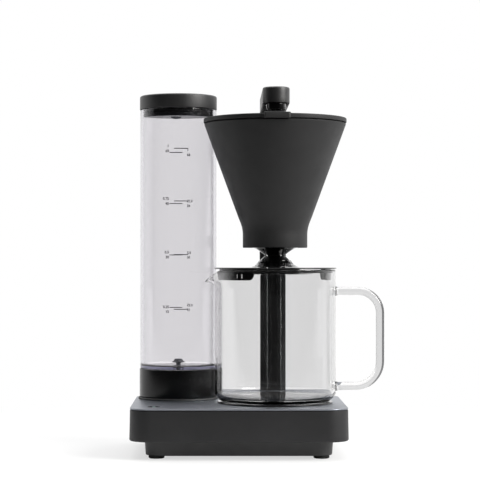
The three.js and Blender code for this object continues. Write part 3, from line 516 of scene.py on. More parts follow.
def loft(levels):
    """Join closed outlines of equal length, and cap both ends."""
    n = len(levels[0])
    last = (len(levels) - 1) * n
    faces = [[k + i, k + (i + 1) % n, k + n + (i + 1) % n, k + n + i]
             for k in range(0, last, n) for i in range(n)]
    faces += [list(range(n))[::-1], list(range(last, last + n))]
    return solid([point for level in levels for point in level], faces)


def box(x0, x1, y0, y1, z0, z1, bevel=0.0, steps=4):
    shape = solid([(x, y, z) for x in (x0, x1) for y in (y0, y1) for z in (z0, z1)],
                  [[0, 1, 3, 2], [4, 6, 7, 5], [0, 4, 5, 1], [2, 3, 7, 6], [0, 2, 6, 4],
                   [1, 5, 7, 3]])
    if bevel > 0:
        work = bmesh.new()
        work.from_mesh(shape.data)
        bmesh.ops.bevel(work, geom=list(work.edges), offset=bevel * MM, segments=steps,
                        profile=0.5, affect="EDGES", clamp_overlap=True)
        work.to_mesh(shape.data)
        work.free()
    return shape


def arc(centre, first, second, radius, start, end, n):
    """Arc points from direction first towards direction second, between two angles."""
    turns = [math.radians(start + (end - start) * i / n) for i in range(n + 1)]
    return [tuple(centre[k] + radius * (first[k] * math.cos(a) + second[k] * math.sin(a))
                  for k in range(3)) for a in turns]


def tube(points, radius, sides):
    """A solid round bar along a path; radius is one value or one for each point."""
    path = [Vector(point) for point in points]
    n = len(path)
    radii = radius if hasattr(radius, "__len__") else [radius] * n
    heading = []
    for i, point in enumerate(path):
        along = Vector((0, 0, 0))
        if i > 0:
            along += (point - path[i - 1]).normalized()
        if i < n - 1:
            along += (path[i + 1] - point).normalized()
        heading.append(along.normalized())
    side = Vector((0, 1, 0)) if abs(heading[0].x) > 0.8 else Vector((1, 0, 0))
    levels = []
    for point, along, r in zip(path, heading, radii):
        side = (side - along * side.dot(along)).normalized()
        up = along.cross(side)
        turns = [2 * math.pi * k / sides for k in range(sides)]
        levels.append([tuple(point + side * r * math.cos(a) + up * r * math.sin(a))
                       for a in turns])
    return loft(levels)


def rod(x, z, y0, y1, radius, sides):
    """A straight bar running front to rear."""
    return tube([(x, y0, z), (x, y1, z)], radius, sides)


def cross_cut(shape, x, y, z0, z1, half, width):
    """Cut a cross recess; width is half of a slot's width."""
    cut(shape, box(x - half, x + half, y - width, y + width, z0, z1),
        box(x - width, x + width, y - half, y + half, z0, z1))


def face_rear(shape, x, y, z):
    """Lay a piece drawn up the Z axis along +Y, at a place."""
    shape.data.transform(Matrix.Translation((x * MM, y * MM, z * MM))
                         @ Matrix.Rotation(-math.pi / 2, 4, "X"))


def spin(shape, centre, degrees):
    """Turn a piece drawn about the origin, and move it to a vertical axis."""
    shape.data.transform(Matrix.Translation((centre[0] * MM, centre[1] * MM, 0))
                         @ Matrix.Rotation(math.radians(degrees), 4, "Z"))


# ------------------------------------------------------------------ base dimensions
plate_lo, plate_hi = local_box("base_top_plate")
HALF_X, HALF_Y = plate_hi.x / MM, plate_hi.y / MM
PLATE_Z0, PLATE_Z1 = plate_lo.z / MM, plate_hi.z / MM
CORNER = 22.0
FLARE = local_box("base_housing")[1].x / MM - HALF_X     # how far the housing spreads at its foot
HOUSE_Z0, HOUSE_Z1 = 17.8, top("base_housing")
HOT_R, HOT_Z = radius_of("hot_plate"), top("hot_plate")
CUT_Z0, CUT_Z1 = 40, 60      # reach of the tools that pierce the top of the base
TANK_HOLE_R, BUTTON_HOLE_R = 31, 7.0
COLUMN_GAP = 0.3
CORD_X, _, CORD_Z = middle("cord_strain_relief")
SCREWS = (("front_left", -50, -62), ("front_right", 60, -68),
          ("rear_left", -20, 70), ("rear_right", 80, 56))
FOOT_X, FOOT_Y = 82.5, 68.5


def base_plan(inset, z, steps=20):
    return centred(HALF_X - inset, HALF_Y - inset, CORNER - inset, z, steps)


def tank_hole():
    return cylinder(TANK, TANK_HOLE_R, CUT_Z0, CUT_Z1)


def column_slot():
    return loft([rrect(col_lo.x - COLUMN_GAP, col_hi.x + COLUMN_GAP, col_lo.y - COLUMN_GAP,
                       col_hi.y + COLUMN_GAP, 7, z) for z in (CUT_Z0, CUT_Z1)])


# ------------------------------------------------------------------ base housing
levels = []
for sine, cosine in quarter(6):      # bottom edge radius
    inset = 1.9 * (1 - sine)
    levels.append(centred(HALF_X + FLARE - inset, HALF_Y + FLARE - inset, CORNER + 0.3 - inset,
                          HOUSE_Z0 + 1.9 * (1 - cosine), 22))
for part in (0.33, 0.66):
    out = FLARE * (1 - part)
    levels.append(centred(HALF_X + out, HALF_Y + out, CORNER + 0.3 * (1 - part),
                          HOUSE_Z0 + 2 + (HOUSE_Z1 - HOUSE_Z0 - 3) * part, 22))
for sine, cosine in quarter(4):      # top edge radius, which makes the seam under the plate
    levels.append(base_plan(0.5 * (1 - cosine), HOUSE_Z1 - 1.0 + 0.5 * sine, 22))
levels += [base_plan(1.1, HOUSE_Z1 - 0.48, 22), base_plan(1.25, HOUSE_Z1, 22)]
housing = loft(levels)
cut(housing,
    loft([base_plan(2.6, HOUSE_Z0 - 1), base_plan(2.6, HOUSE_Z1 - 2.4)]),
    cylinder(JUG, HOT_R - 1.9, CUT_Z0, CUT_Z1),
    tank_hole(),
    cylinder(BUTTON, BUTTON_HOLE_R, CUT_Z0, CUT_Z1, 64),
    column_slot(),
    rod(76, 32, 80, 100, radius=5.6, sides=48))      # cord hole
for _, x, y in SCREWS:
    join(housing, lathe([(1.9, 14), (4, 14), (4, 47.2), (1.9, 47.2)], (x, y), 40))
for place in ((-97, -46), (-62, -70)):
    join(housing, cylinder(place, 3, 38.4, 47.2, 32))
finish(housing, "base_housing_shell", CHARCOAL, "base", "base_housing", 38)

# ------------------------------------------------------------------ metal top plate
levels = []
for sine, cosine in quarter(3):
    levels.append(base_plan(0.3 * (1 - sine), PLATE_Z0 + 0.3 * (1 - cosine), 26))
for sine, cosine in quarter(5):
    levels.append(base_plan(0.55 * (1 - cosine), PLATE_Z1 - 0.55 + 0.55 * sine, 26))
plate = loft(levels)
cut(plate,
    cylinder(JUG, HOT_R + 0.3, CUT_Z0, CUT_Z1, 160),
    tank_hole(),
    lathe([(0, CUT_Z0), (BUTTON_HOLE_R, CUT_Z0), (BUTTON_HOLE_R, PLATE_Z1 - 0.35),
           (7.35, PLATE_Z1), (7.35, CUT_Z1), (0, CUT_Z1)], BUTTON, 96),
    column_slot())
finish(plate, "base_top_plate_metal", PLATE_MAT, "base", "base_top_plate", 40)

# ------------------------------------------------------------------ pan under the base
PAN_X, PAN_Y = 94.5, 80.0      # half sizes
levels = []
for sine, cosine in quarter(5):
    inset = 1.3 * (1 - sine)
    levels.append(centred(PAN_X - 0.9 - inset, PAN_Y - 0.9 - inset, 16 - 0.6 - inset,
                          3 + 1.3 * (1 - cosine), 18))
levels += [centred(PAN_X + out, PAN_Y + out, radius, z, 18)      # flaring rim
           for out, radius, z in ((0, 16, 17.4), (0.5, 16.4, 18.0), (1.2, 17, 18.15))]
levels += [base_plan(3.1, z, 18) for z in (18.15, 20)]
pan = loft(levels)
cut(pan, loft([centred(PAN_X - 3.6, PAN_Y - 3.6, 13.6, 5.4, 12),
               centred(PAN_X - 2.4, PAN_Y - 2.4, 13.6, 21, 12)]))
for x in (-FOOT_X, FOOT_X):
    for y in (-FOOT_Y, FOOT_Y):
        cut(pan, cylinder((x, y), 3.4, 0, 8, 40))
for _, x, y in SCREWS:
    join(pan, cylinder((x, y), 5.4, 4, 13.6, 48))
    cut(pan, cylinder((x, y), 3.6, 1, 11.4, 48), cylinder((x, y), 1.9, 1, 20, 32))
finish(pan, "base_pan_plinth", PAN, "base", "base_pan", 35)

# ------------------------------------------------------------------ feet and pan screws
FOOT = [(0, 0), (7.2, 0, 0.5), (8, 0.75, 0.3), (8, 2.7, 0.25), (3.0, 2.7), (3.0, 5.8),
        (4.2, 5.9, 0.2), (2.6, 8.4, 0.4), (0, 8.4)]
PAN_SCREW = [(0, 8.0), (2.2, 8.15, 0.8), (3.1, 9.0, 0.5), (3.1, 11.1, 0.1), (1.5, 11.1),
             (1.5, 26), (0, 27.2)]
for corner, x, y in (("front_left", -FOOT_X, -FOOT_Y), ("front_right", FOOT_X, -FOOT_Y),
                     ("rear_left", -FOOT_X, FOOT_Y), ("rear_right", FOOT_X, FOOT_Y)):
    finish(lathe(FOOT, (x, y), 64), "rubber_foot_" + corner, RUBBER,
           "base", "foot_" + corner, 50)
for corner, x, y in SCREWS:
    screw = lathe(PAN_SCREW, (x, y), 48)
    cross_cut(screw, x, y, z0=7, z1=9.4, half=1.9, width=0.36)
    finish(screw, "pan_screw_head_" + corner, STEEL, "base", "pan_screw_" + corner)

# ------------------------------------------------------------------ hot plate
hot_plate = lathe([
    (0, 44.4), (HOT_R - 3.5, 44.4), (HOT_R - 2.5, 45.4), (HOT_R - 2.5, 49.6), (HOT_R, 49.6),
    (HOT_R, HOT_Z, 0.55), (HOT_R - 6.5, HOT_Z, 0.4), (HOT_R - 7.4, HOT_Z - 0.32, 0.5),
    (0, HOT_Z - 0.32)], JUG, 192)
finish(hot_plate, "hot_plate_disc", ENAMEL, "base", "hot_plate", 45)

# ------------------------------------------------------------------ tank socket and its seal
SOCKET_R = radius_of("tank_socket")
socket = lathe([
    (30, PLATE_Z1 + 0.3), (SOCKET_R, PLATE_Z1 + 0.3, 0.15), (SOCKET_R, 53.0, 0.9),
    (30.4, 53.0, 0.8), (28.2, 51.2, 0.5), (28.2, 48), (16.6, 48), (15.6, 47, 0.4), (15.6, 34.4),
    (3.0, 34.4), (3.0, 24.6), (3.5, 24.6), (3.5, 32), (17.6, 32), (17.6, 45.6), (30, 45.6)], TANK)
join(socket, box(TANK_X - 15.9, TANK_X + 15.9, TANK_Y - 1, TANK_Y + 1, 34, 38),
     cylinder(TANK, 2.2, 33.5, 46.6, 32))      # crossbar and centre pin
finish(socket, "tank_socket_ring", PAN, "base", "tank_socket", 38)
seal = lathe([(11.6, 40.2, 0.3), (15.2, 40.2, 0.3), (15.2, 44.6, 0.5), (13.4, 44.6, 0.6),
              (11.6, 43.2, 0.6)], TANK, 96)
finish(seal, "tank_socket_seal", RUBBER, "base", "socket_seal", 50)

# ------------------------------------------------------------------ power button and its light
button = lathe([
    (2.0, 47.5), (2.0, 50.55, 0.2), (4.6, 50.62, 1.0), (6.7, 50.9, 0.55), (6.7, 46.5),
    (8.4, 46.5), (8.4, 44.6), (0.9, 44.2), (0.9, 47.5)], BUTTON, 96)
finish(button, "power_button_cap", GLOSS, "power_button", "power_button",
       40)
light = lathe([(0, 47.8), (1.7, 47.8), (1.7, 50.75, 0.35), (0, 50.85)], BUTTON, 48)
finish(light, "power_button_light", LENS, "power_button", "button_light", 40)

# ------------------------------------------------------------------ cord and boot at the rear
profile = [(3.4, -8), (6.6, -8), (6.6, -4.4), (5.2, -4.4), (5.2, 0.3), (8.2, 0.3, 0.2),
           (8.2, 2.2, 0.7), (5.8, 3.4, 0.8)]
for k in range(5):      # ribs that taper away from the housing
    z = 4.6 + k * 2.1
    r = 5.55 - 0.2 * k
    profile += [(r, z, 0.2), (r, z + 1.2, 0.2), (r - 0.75, z + 1.25, 0.1),
                (r - 0.75, z + 2.05, 0.1)]
profile += [(4.5, 15, 0.6), (3.4, 15)]
boot = lathe(profile, (0, 0), 64)
face_rear(boot, CORD_X, 94.1, CORD_Z)
finish(boot, "cord_strain_boot", RUBBER, "base", "cord_strain_relief", 40)
CORD_BEND = 12
cord = tube([(CORD_X, y, CORD_Z) for y in (84, 96, 108)]
            + arc((CORD_X, 108, CORD_Z - CORD_BEND), (0, 0, 1), (0, 1, 0), CORD_BEND, 5, 60, 14),
            radius=3.05, sides=40)
finish(cord, "mains_cord_end", RUBBER, "base", "mains_cord", 50)

# ------------------------------------------------------------------ column
COL_Z0, COL_Z1 = col_lo.z, col_hi.z
REAR_Y = col_hi.y
PIPE = PIPE_X, PIPE_Y = 38.2, 78.5      # axis of the riser hole
PIPE_HOLE_R = 4.9
COLUMN_SCREWS = (("lower", 66), ("upper", 340))


def column_plan(inset, z):
    """Flat front face between two chamfers, rounded at the rear corners."""
    x0, x1 = col_lo.x + inset, col_hi.x - inset
    y0, y1 = col_lo.y + inset, col_hi.y - inset
    outline = soften([(x1, y1, 6.8), (x0, y1, 6.8), (x0, y0 + 5.6, 1.6), (x0 + 8.0, y0, 2.5),
                      (x1 - 5.6, y0, 2.5), (x1, y0 + 4.4, 1.6)], steps=10)
    return [(x, y, z) for x, y in outline]


column = loft([column_plan(0, z) for z in (COL_Z0, 60, 150, 250, COL_Z1 - 0.2)]
              + [column_plan(0.2, COL_Z1)])
cut(column,
    loft([rrect(col_lo.x + 2, col_hi.x - 2, col_lo.y + 2, col_hi.y - 2, 5, z, 12)
          for z in (COL_Z0 - 1, COL_Z1 + 1)]),
    loft([[(PIPE_X - 8, REAR_Y - 4, z), (PIPE_X + 8, REAR_Y - 4, z),      # rear panel opening
           (PIPE_X + 8, REAR_Y + 2, z), (PIPE_X - 8, REAR_Y + 2, z)] for z in (54, 352)]))
for _, z in COLUMN_SCREWS:      # a bridge for each screw, with the pipe hole through it
    join(column, box(col_lo.x + 1, col_hi.x - 1, REAR_Y - 6.8, REAR_Y - 4.6, z - 4, z + 4))
    cut(column, rod(PIPE_X, z, 82, 90.5, 1.6, 32), cylinder(PIPE, PIPE_HOLE_R, z - 6, z + 6, 48))
finish(column, "column_body", COLUMN, "base", "column_shell", 34)

cover = box(PIPE_X - 7.7, PIPE_X + 7.7, REAR_Y - 1.8, REAR_Y - 0.1, 54.3, 351.7,
            bevel=0.5, steps=3)
for _, z in COLUMN_SCREWS:      # countersunk screw bosses
    join(cover, rod(PIPE_X, z, REAR_Y - 4.3, REAR_Y - 1, 4.4, 48))
    cut(cover, rod(PIPE_X, z, REAR_Y - 2.6, REAR_Y + 1, 3.2, 48),
        rod(PIPE_X, z, REAR_Y - 8, REAR_Y + 1, 1.6, 32))
finish(cover, "column_rear_panel", GLOSS, "base", "column_rear_cover", 34)
for level, z in COLUMN_SCREWS:
    screw = lathe([(0, -6.6), (1.25, -6.2), (1.25, -2.2), (2.8, -2.2), (2.8, -0.9, 0.3),
                   (2.2, -0.4, 0.4), (0, -0.38)], (0, 0), 48)
    cross_cut(screw, 0, 0, z0=-1.3, z1=0.2, half=1.7, width=0.3)
    face_rear(screw, PIPE_X, REAR_Y, z)
    finish(screw, "column_screw_head_" + level, STEEL, "base", "column_screw_" + level)

# ------------------------------------------------------------------ arm, outlet and bracket
ARM_Z0, ARM_Z1 = arm_lo.z, arm_hi.z


def arm_plan(inset, z):
    """Rounded corners at the rear and a half circle at the front."""
    half = ARM_HALF - inset
    radius = max(0.8, 7 - inset)
    corner_y = arm_hi.y - inset - radius
    out = []
    for x, start in ((ARM_X + half - radius, 0), (ARM_X - half + radius, 90)):
        for i in range(9):
            a = math.radians(start + 90 * i / 8)
            out.append((x + radius * math.cos(a), corner_y + radius * math.sin(a), z))
    for i in range(49):
        a = math.radians(180 + 180 * i / 48)
        out.append((ARM_X + half * math.cos(a), HEAD_Y + half * math.sin(a), z))
    return out


levels = [arm_plan(inset, ARM_Z0 + rise) for inset, rise in (
    (0.25, 0), (0.05, 0.12), (0.0, 0.35), (0, 5), (0, 10))]
for sine, cosine in quarter(8):
    levels.append(arm_plan(2.0 * (1 - cosine), ARM_Z1 - 2.0 + 2.0 * sine))
arm = loft(levels)
cut(arm, loft([arm_plan(2, ARM_Z0 - 1), arm_plan(2, ARM_Z1 - 2)]))
finish(arm, "arm_cover", ARM_MAT, "base", "arm_shell", 34)
under = loft([arm_plan(2.3, ARM_Z0 + 0.1), arm_plan(2.3, ARM_Z0 + 1.5)])
cut(under, *[cylinder(place, PIPE_HOLE_R, 350, 365, 48) for place in (PIPE, OUTLET)])
finish(under, "arm_underside", CHARCOAL, "base", "arm_lower_cover", 34)

SPOUT_Z0 = bottom("outlet_spout")
nozzle = lathe([
    (4.7, 361.5), (7.5, 361.5), (7.5, ARM_Z0 + 1.8), (4.6, ARM_Z0 + 1.8), (4.6, ARM_Z0 - 0.3),
    (10, ARM_Z0 - 0.3, 0.4), (10, 353.3, 0.25), (9.5, 353.1, 0.1), (9.5, 352.4, 0.2),
    (8.9, SPOUT_Z0, 0.35), (6.6, SPOUT_Z0, 0.2), (6.2, SPOUT_Z0 + 0.7, 0.2),
    (3.6, SPOUT_Z0 + 0.9, 0.2), (3.0, 355), (4.2, 357)], OUTLET, 96)
finish(nozzle, "outlet_nozzle", GLOSS, "base", "outlet_spout", 36)

lo, hi = box_mm("holder_bracket")
bracket = box(lo.x, hi.x, lo.y, hi.y, lo.z, hi.z, bevel=1.6, steps=6)
cut(bracket, box(JUG_X - 8.9, JUG_X + 8.9, 20, 58, 215.1, 220.9))      # takes the holder's tongue
finish(bracket, "holder_bracket_arm", GLOSS, "base", "holder_bracket", 34)

# ------------------------------------------------------------------ water tank, cup and valve
TANK_R = radius_of("water_tank")
TANK_BORE = TANK_R - 3.0
TANK_Z0, TANK_Z1 = bottom("water_tank"), top("water_tank")
TANK_FLOOR = 86.0
tank = lathe([
    (4.0, TANK_Z0, 0.2), (TANK_R, TANK_Z0, 0.9), (TANK_R, 140), (TANK_R, 230), (TANK_R, 300),
    (TANK_R, TANK_Z1, 0.6), (TANK_BORE, TANK_Z1, 0.6), (TANK_BORE, 300), (TANK_BORE, 230),
    (TANK_BORE, 140), (TANK_BORE, TANK_FLOOR, 3.0), (14, TANK_FLOOR, 1),
    (4.0, TANK_FLOOR, 0.4)], TANK, 192, steps=8)
finish(tank, "water_tank_tube", TANK_MAT, "tank", "water_tank", 50)
CUP_R = radius_of("tank_base_cup")
cup = lathe([
    (4.0, 83.0), (4.0, 80.6), (7.2, 80.6), (7.2, 41.0), (8.2, 40.0, 0.4), (10.2, 40.0, 0.5),
    (11.2, 41.2, 0.5), (11.2, 78), (13.5, 80.4), (36.5, 80.4), (38.9, 78), (38.9, 53.4),
    (CUP_R, 53.4, 0.8), (CUP_R, 83.0, 0.7)], TANK, 160)
finish(cup, "tank_base_cup_shell", CUP, "tank", "tank_base_cup", 36)
valve = lathe([
    (0, 50.2), (5.6, 50.2, 0.3), (5.6, 52.0, 0.3), (2.4, 52.6, 0.3), (2.4, 88.9),
    (3.4, 88.9, 0.2), (6.7, 89.3, 0.35), (6.8, 90.0, 0.3), (4.9, 91.1, 0.4), (4.2, 92.9, 1.2),
    (0, 93.4)], TANK, 64)
finish(valve, "tank_valve_mushroom", GREY, "tank_valve", "tank_valve", 38)

# ------------------------------------------------------------------ tank cap
CAP_R, CAP_Z1 = radius_of("tank_cap"), top("tank_cap")
CAP_Z0 = 358.2      # below this the plug goes into the tank
RIB_COUNT = 26
cap = lathe([
    (0, CAP_Z1), (CAP_R, CAP_Z1, 1.9), (CAP_R, CAP_Z0, 0.35), (36.9, CAP_Z0), (36.9, 355.5, 0.2),
    (35.7, 355.5), (35.7, 352.7), (36.9, 352.7, 0.2), (36.9, 349.3, 0.2), (36.3, 349.3),
    (36.3, 351.5), (33.8, 351.5), (33.8, CAP_Z1 - 2.6), (0, CAP_Z1 - 2.6)], TANK, 192)
ribs = bmesh.new()      # fine ribs round the plug, above and below its seal
for k in range(RIB_COUNT):
    for z0, z1 in ((349.7, 352.65), (355.55, 358.4)):
        rib = box(36.5, 37.25, -0.45, 0.45, z0, z1, bevel=0.15, steps=2)
        spin(rib, TANK, 360 * (k + 0.5) / RIB_COUNT)
        ribs.from_mesh(rib.data)
        bpy.data.objects.remove(rib)
rib_mesh = bpy.data.meshes.new("ribs")
ribs.to_mesh(rib_mesh)
ribs.free()
join(cap, add_object(rib_mesh))
finish(cap, "tank_cap_shell", CAP_MAT, "tank_cap", "tank_cap", 36)
# painted shade: the cap's faces below z 357.8, its plug inside the tank, take the darker material
cap.data.materials.append(PLUG_SHADE_MAT)
cap.data.polygons.foreach_set(
    "material_index", [1 if face.center.z < 0.3578 else 0 for face in cap.data.polygons])
lip_seal = lathe([(36.0, 353.1, 0.1), (36.9, 353.2, 0.3), (37.25, 354.1, 0.5),
                  (36.9, 355.0, 0.3), (36.0, 355.1, 0.1)], TANK, 160)
finish(lip_seal, "tank_cap_lip_seal", SEAL_MAT, "tank_cap", "tank_cap_seal", 50)
VENT = (middle("tank_cap_vent").x, TANK_Y)
vent = lathe([
    (1.4, 347.4, 0.2), (3.0, 347.4, 1.4), (5.5, 348.5, 1.4), (6.0, 350.2, 0.5),
    (6.0, 351.4, 0.5), (3.6, 352.4, 0.5), (3.6, CAP_Z1 - 2.9), (1.4, CAP_Z1 - 2.9)], VENT, 64)
finish(vent, "tank_cap_vent_boss", VENT_MAT, "tank_cap", "tank_cap_vent", 40)
cap_plate = lathe([(0, 349.5), (36.0, 349.5, 0.3), (36.0, 351.2), (0, 351.2)], TANK, 160)
cut(cap_plate, cylinder(VENT, 6.3, 340, 360, 64))
finish(cap_plate, "tank_cap_underside", PALE, "tank_cap", "tank_cap_plate", 40)

# ------------------------------------------------------------------ level marks on the tank
INK_R, INK_THICK = TANK_R + 0.02, 0.06
TEXT_SIZE = 3.9
# height of the line, label above it, label below it
LEVELS = ((314.9, "1", "60"), (259.9, "0.75", "45"), (203.9, "0.5", "30"), (146.8, "0.25", "15"))


def wrap(flat, flat_faces, facing, z, verts, faces):
    """Lay flat artwork round the tank at an angle in degrees, as a thin solid."""
    start, n = len(verts), len(flat)
    for radius in (INK_R, INK_R + INK_THICK):
        for across, rise in flat:
            a = math.radians(facing) + across / radius_at_ink
            verts.append((TANK_X + radius * math.cos(a), TANK_Y + radius * math.sin(a), z + rise))
    flat_faces = [[i + start for i in face] for face in flat_faces]
    for face in flat_faces:
        faces += [face, [i + n for i in reversed(face)]]
    edges = dict.fromkeys((face[i], face[(i + 1) % len(face)])
                          for face in flat_faces for i in range(len(face)))
    for first, second in edges:
        if (second, first) not in edges:      # an outline edge gets a side wall
            faces.append([second, first, first + n, second + n])


radius_at_ink = INK_R      # both layers turn by the same angle


def glyphs(text):
    """Triangulated outlines of a text that ends at x = 0."""
    curve = bpy.data.curves.new("text", "FONT")
    curve.body = text
    curve.size = TEXT_SIZE
    curve.resolution_u = 3
    curve.align_x = "RIGHT"
    curve.offset = 0.10
    holder = bpy.data.objects.new("text", curve)
    scene.collection.objects.link(holder)
    bpy.context.view_layer.update()
    graph = bpy.context.evaluated_depsgraph_get()
    mesh = bpy.data.meshes.new_from_object(holder.evaluated_get(graph))
    work = bmesh.new()
    work.from_mesh(mesh)
    bmesh.ops.remove_doubles(work, verts=work.verts, dist=1e-5)
    bmesh.ops.triangulate(work, faces=work.faces)
    work.verts.index_update()
    flat = [(vert.co.x, vert.co.y) for vert in work.verts]
    faces = [[vert.index for vert in face.verts] for face in work.faces]
    work.free()
    bpy.data.objects.remove(holder)
    bpy.data.meshes.remove(mesh)
    bpy.data.curves.remove(curve)
    return flat, faces


def level_marks(facing):
    """Short lines, each with a label above its height and one below, to the left of it."""
    x0, x1, n = -3.6, 11.2, 16
    line = [(x0 + (x1 - x0) * i / n, rise) for i in range(n + 1) for rise in (-0.42, 0.42)]
    line_faces = [[2 * i, 2 * i + 2, 2 * i + 3, 2 * i + 1] for i in range(n)]
    verts, faces = [], []
    for z, above, below in LEVELS:
        wrap(line, line_faces, facing, z, verts, faces)
        for text, rise in ((above, 1.2), (below, -3.9)):
            flat, flat_faces = glyphs(text)
            wrap([(x - 9.0, y + rise) for x, y in flat], flat_faces, facing, z, verts, faces)
    return solid(verts, faces, weld=False)


for side, facing in (("front", 270), ("rear", 90)):      # each set reads from its own side
    finish(level_marks(facing), "tank_level_marks_" + side, INK, "tank", None,
           20)

# ------------------------------------------------------------------ filter holder
RIM_R, RIM_Z = 73.5, 339.0
CONE_R, CONE_Z = 37.8, 241.7      # foot of the straight cone
NECK_R = 33.4
SLOPE = (RIM_R - CONE_R) / (RIM_Z - CONE_Z)
profile = [(NECK_R, 210.9, 0.6), (NECK_R, 224.0)]
profile += spline([(NECK_R, 225.0), (NECK_R + 0.35, 229), (NECK_R + 1.45, 234),
                   (CONE_R - 1.3, 238.6), (CONE_R + 0.42, 242.9), (CONE_R + 2.2, 247.8)], 6)
profile += [
    (RIM_R, RIM_Z, 0.8), (RIM_R - 2.6, RIM_Z, 0.6), (CONE_R - 2.6 + SLOPE, CONE_Z + 1, 6),
    (30, 233, 4), (9, 228.4, 2), (5, 227.8, 0.4), (5, 224.4), (29.8, 224.4), (30.8, 223.4),
    (30.8, 213.3), (24.4, 213.3), (24.4, 210.9, 0.3)]
holder = lathe(profile, JUG, 224)
join(holder, box(JUG_X - 8.6, JUG_X + 8.6, JUG_Y + 31.6, 56, 215.4, 220.6, bevel=1.2))
finish(holder, "filter_holder_cone", CONE_MAT, "filter_holder", "filter_holder",
       30)

# ------------------------------------------------------------------ filter lid, with front tab
LID_Z, LID_R = 344.4, 73.9
# half width, front edge and rear edge ahead of the axis, corner radius, height
TAB = ((13.1, 75.8, 69, 2, 339.5), (13.5, 76.2, 69, 2.4, 339.9), (13.5, 76.2, 69, 2.4, 344.6),
       (13.2, 75.9, 69.4, 2.1, 345.15), (12.7, 75.4, 69.8, 1.6, 345.4))
filter_lid = lathe([
    (0, LID_Z - 0.5), (52, LID_Z - 0.5, 2), (54, LID_Z, 1.5), (LID_R, LID_Z, 1.0),
    (LID_R, 340.0, 0.4), (70.2, 340.0), (68.3, 335, 0.4), (66.6, 335, 0.3),
    (68.2, LID_Z - 2.4, 0.5), (0, LID_Z - 2.7)], JUG, 224)
join(filter_lid, loft([
    rrect(JUG_X - half, JUG_X + half, JUG_Y - front, JUG_Y - rear, radius, z, 8)
    for half, front, rear, radius, z in TAB]))
cut(filter_lid, cylinder(OUTLET, 13, 330, 350))
finish(filter_lid, "filter_holder_lid", CONE_MAT, "filter_lid", "filter_lid",
       30)

# ------------------------------------------------------------------ drip stop and its spring
nose = lathe(
    [(3.2, 203.1), (10.3, 203.1, 0.45)]
    + spline([(10.6, 203.5), (12.9, 205.3), (16.4, 207.7), (20.2, 209.8), (23.7, 210.9)], 6)
    + [(23.7, 213.6), (27, 213.6), (27, 215.2), (7.6, 215.2), (7.6, 221), (3.2, 221)], JUG, 144)
finish(nose, "drip_stop_nose", GLOSS, "drip_valve", "drip_valve", 34)

SPRING_Z0, SPRING_Z1 = bottom("drip_valve_spring"), top("drip_valve_spring")
SPRING_R, COILS, SPRING_STEPS, END_GAP = 19, 3.5, 112, 0.72
SPRING_H = SPRING_Z1 - SPRING_Z0
coil = []
for i in range(SPRING_STEPS + 1):
    part = i / SPRING_STEPS
    turn = 2 * math.pi * COILS * part
    rise = min(max((part - 0.12) / 0.76, 0.0), 1.0)      # the ends of the coil lie flat
    coil.append((JUG_X + SPRING_R * math.cos(turn), JUG_Y + SPRING_R * math.sin(turn),
                 SPRING_Z0 + END_GAP + (SPRING_H - 2 * END_GAP) * rise))
spring = tube(coil, radius=0.6, sides=12)
finish(spring, "drip_stop_spring", STEEL, "filter_holder", "drip_valve_spring", 40)
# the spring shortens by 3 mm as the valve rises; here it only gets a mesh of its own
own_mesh(spring)

# ------------------------------------------------------------------ glass jug
JUG_R, JUG_BORE = 62.6, 60.2
WALL_MID, WALL_HALF = (JUG_R + JUG_BORE) / 2, (JUG_R - JUG_BORE) / 2
RIM_TOP, RIM_ARC_Z = 188.2, 187.0
LIP_Z = 164.0                    # the pouring lip starts here
LIP_OUT, LIP_DROP = 10.9, 12.0      # how far it leans out and dips at the rim


def pouring_lip(r, z, angle):
    """Bend the wall within 30 degrees of -X outward and down, keeping its thickness."""
    off = abs(angle - math.pi) / math.radians(30)
    if z <= LIP_Z or r < 50 or off >= 1:
        return r, z
    weight = (0.5 + 0.5 * math.cos(math.pi * off)) ** 1.25
    height = RIM_TOP - LIP_Z
    part = (z - LIP_Z) / height
    mid_r = WALL_MID + weight * LIP_OUT * part ** 3
    mid_z = z - weight * LIP_DROP * part ** 2
    slope_r = weight * LIP_OUT * 3 * part ** 2 / height
    slope_z = 1 - weight * LIP_DROP * 2 * part / height
    length = math.hypot(slope_r, slope_z)
    side = r - WALL_MID
    return mid_r + side * slope_z / length, mid_z - side * slope_r / length


def lip_height(k):
    return LIP_Z + (RIM_ARC_Z - LIP_Z) * k / 19.0


profile = [(0, 53.7), (45, 53.6, 3), (49, 52.8, 1.5), (51.5, 52.6, 1.0), (56.4, 52.75, 5.0),
           (JUG_R, 58.9, 7.0), (JUG_R, 90), (JUG_R, 130), (JUG_R, LIP_Z)]
profile += [(JUG_R, lip_height(k)) for k in range(1, 20)]
for k in range(1, 8):      # rounded rim
    a = math.pi * k / 8
    profile.append((WALL_MID + WALL_HALF * math.cos(a), RIM_ARC_Z + WALL_HALF * math.sin(a)))
profile += [(JUG_BORE, lip_height(k)) for k in range(19, -1, -1)]
profile += [(JUG_BORE, 130), (JUG_BORE, 90), (JUG_BORE, 57.6, 5.5), (50, 57.0, 3), (0, 56.8)]
jug = lathe(profile, JUG, 240, steps=8, warp=pouring_lip)

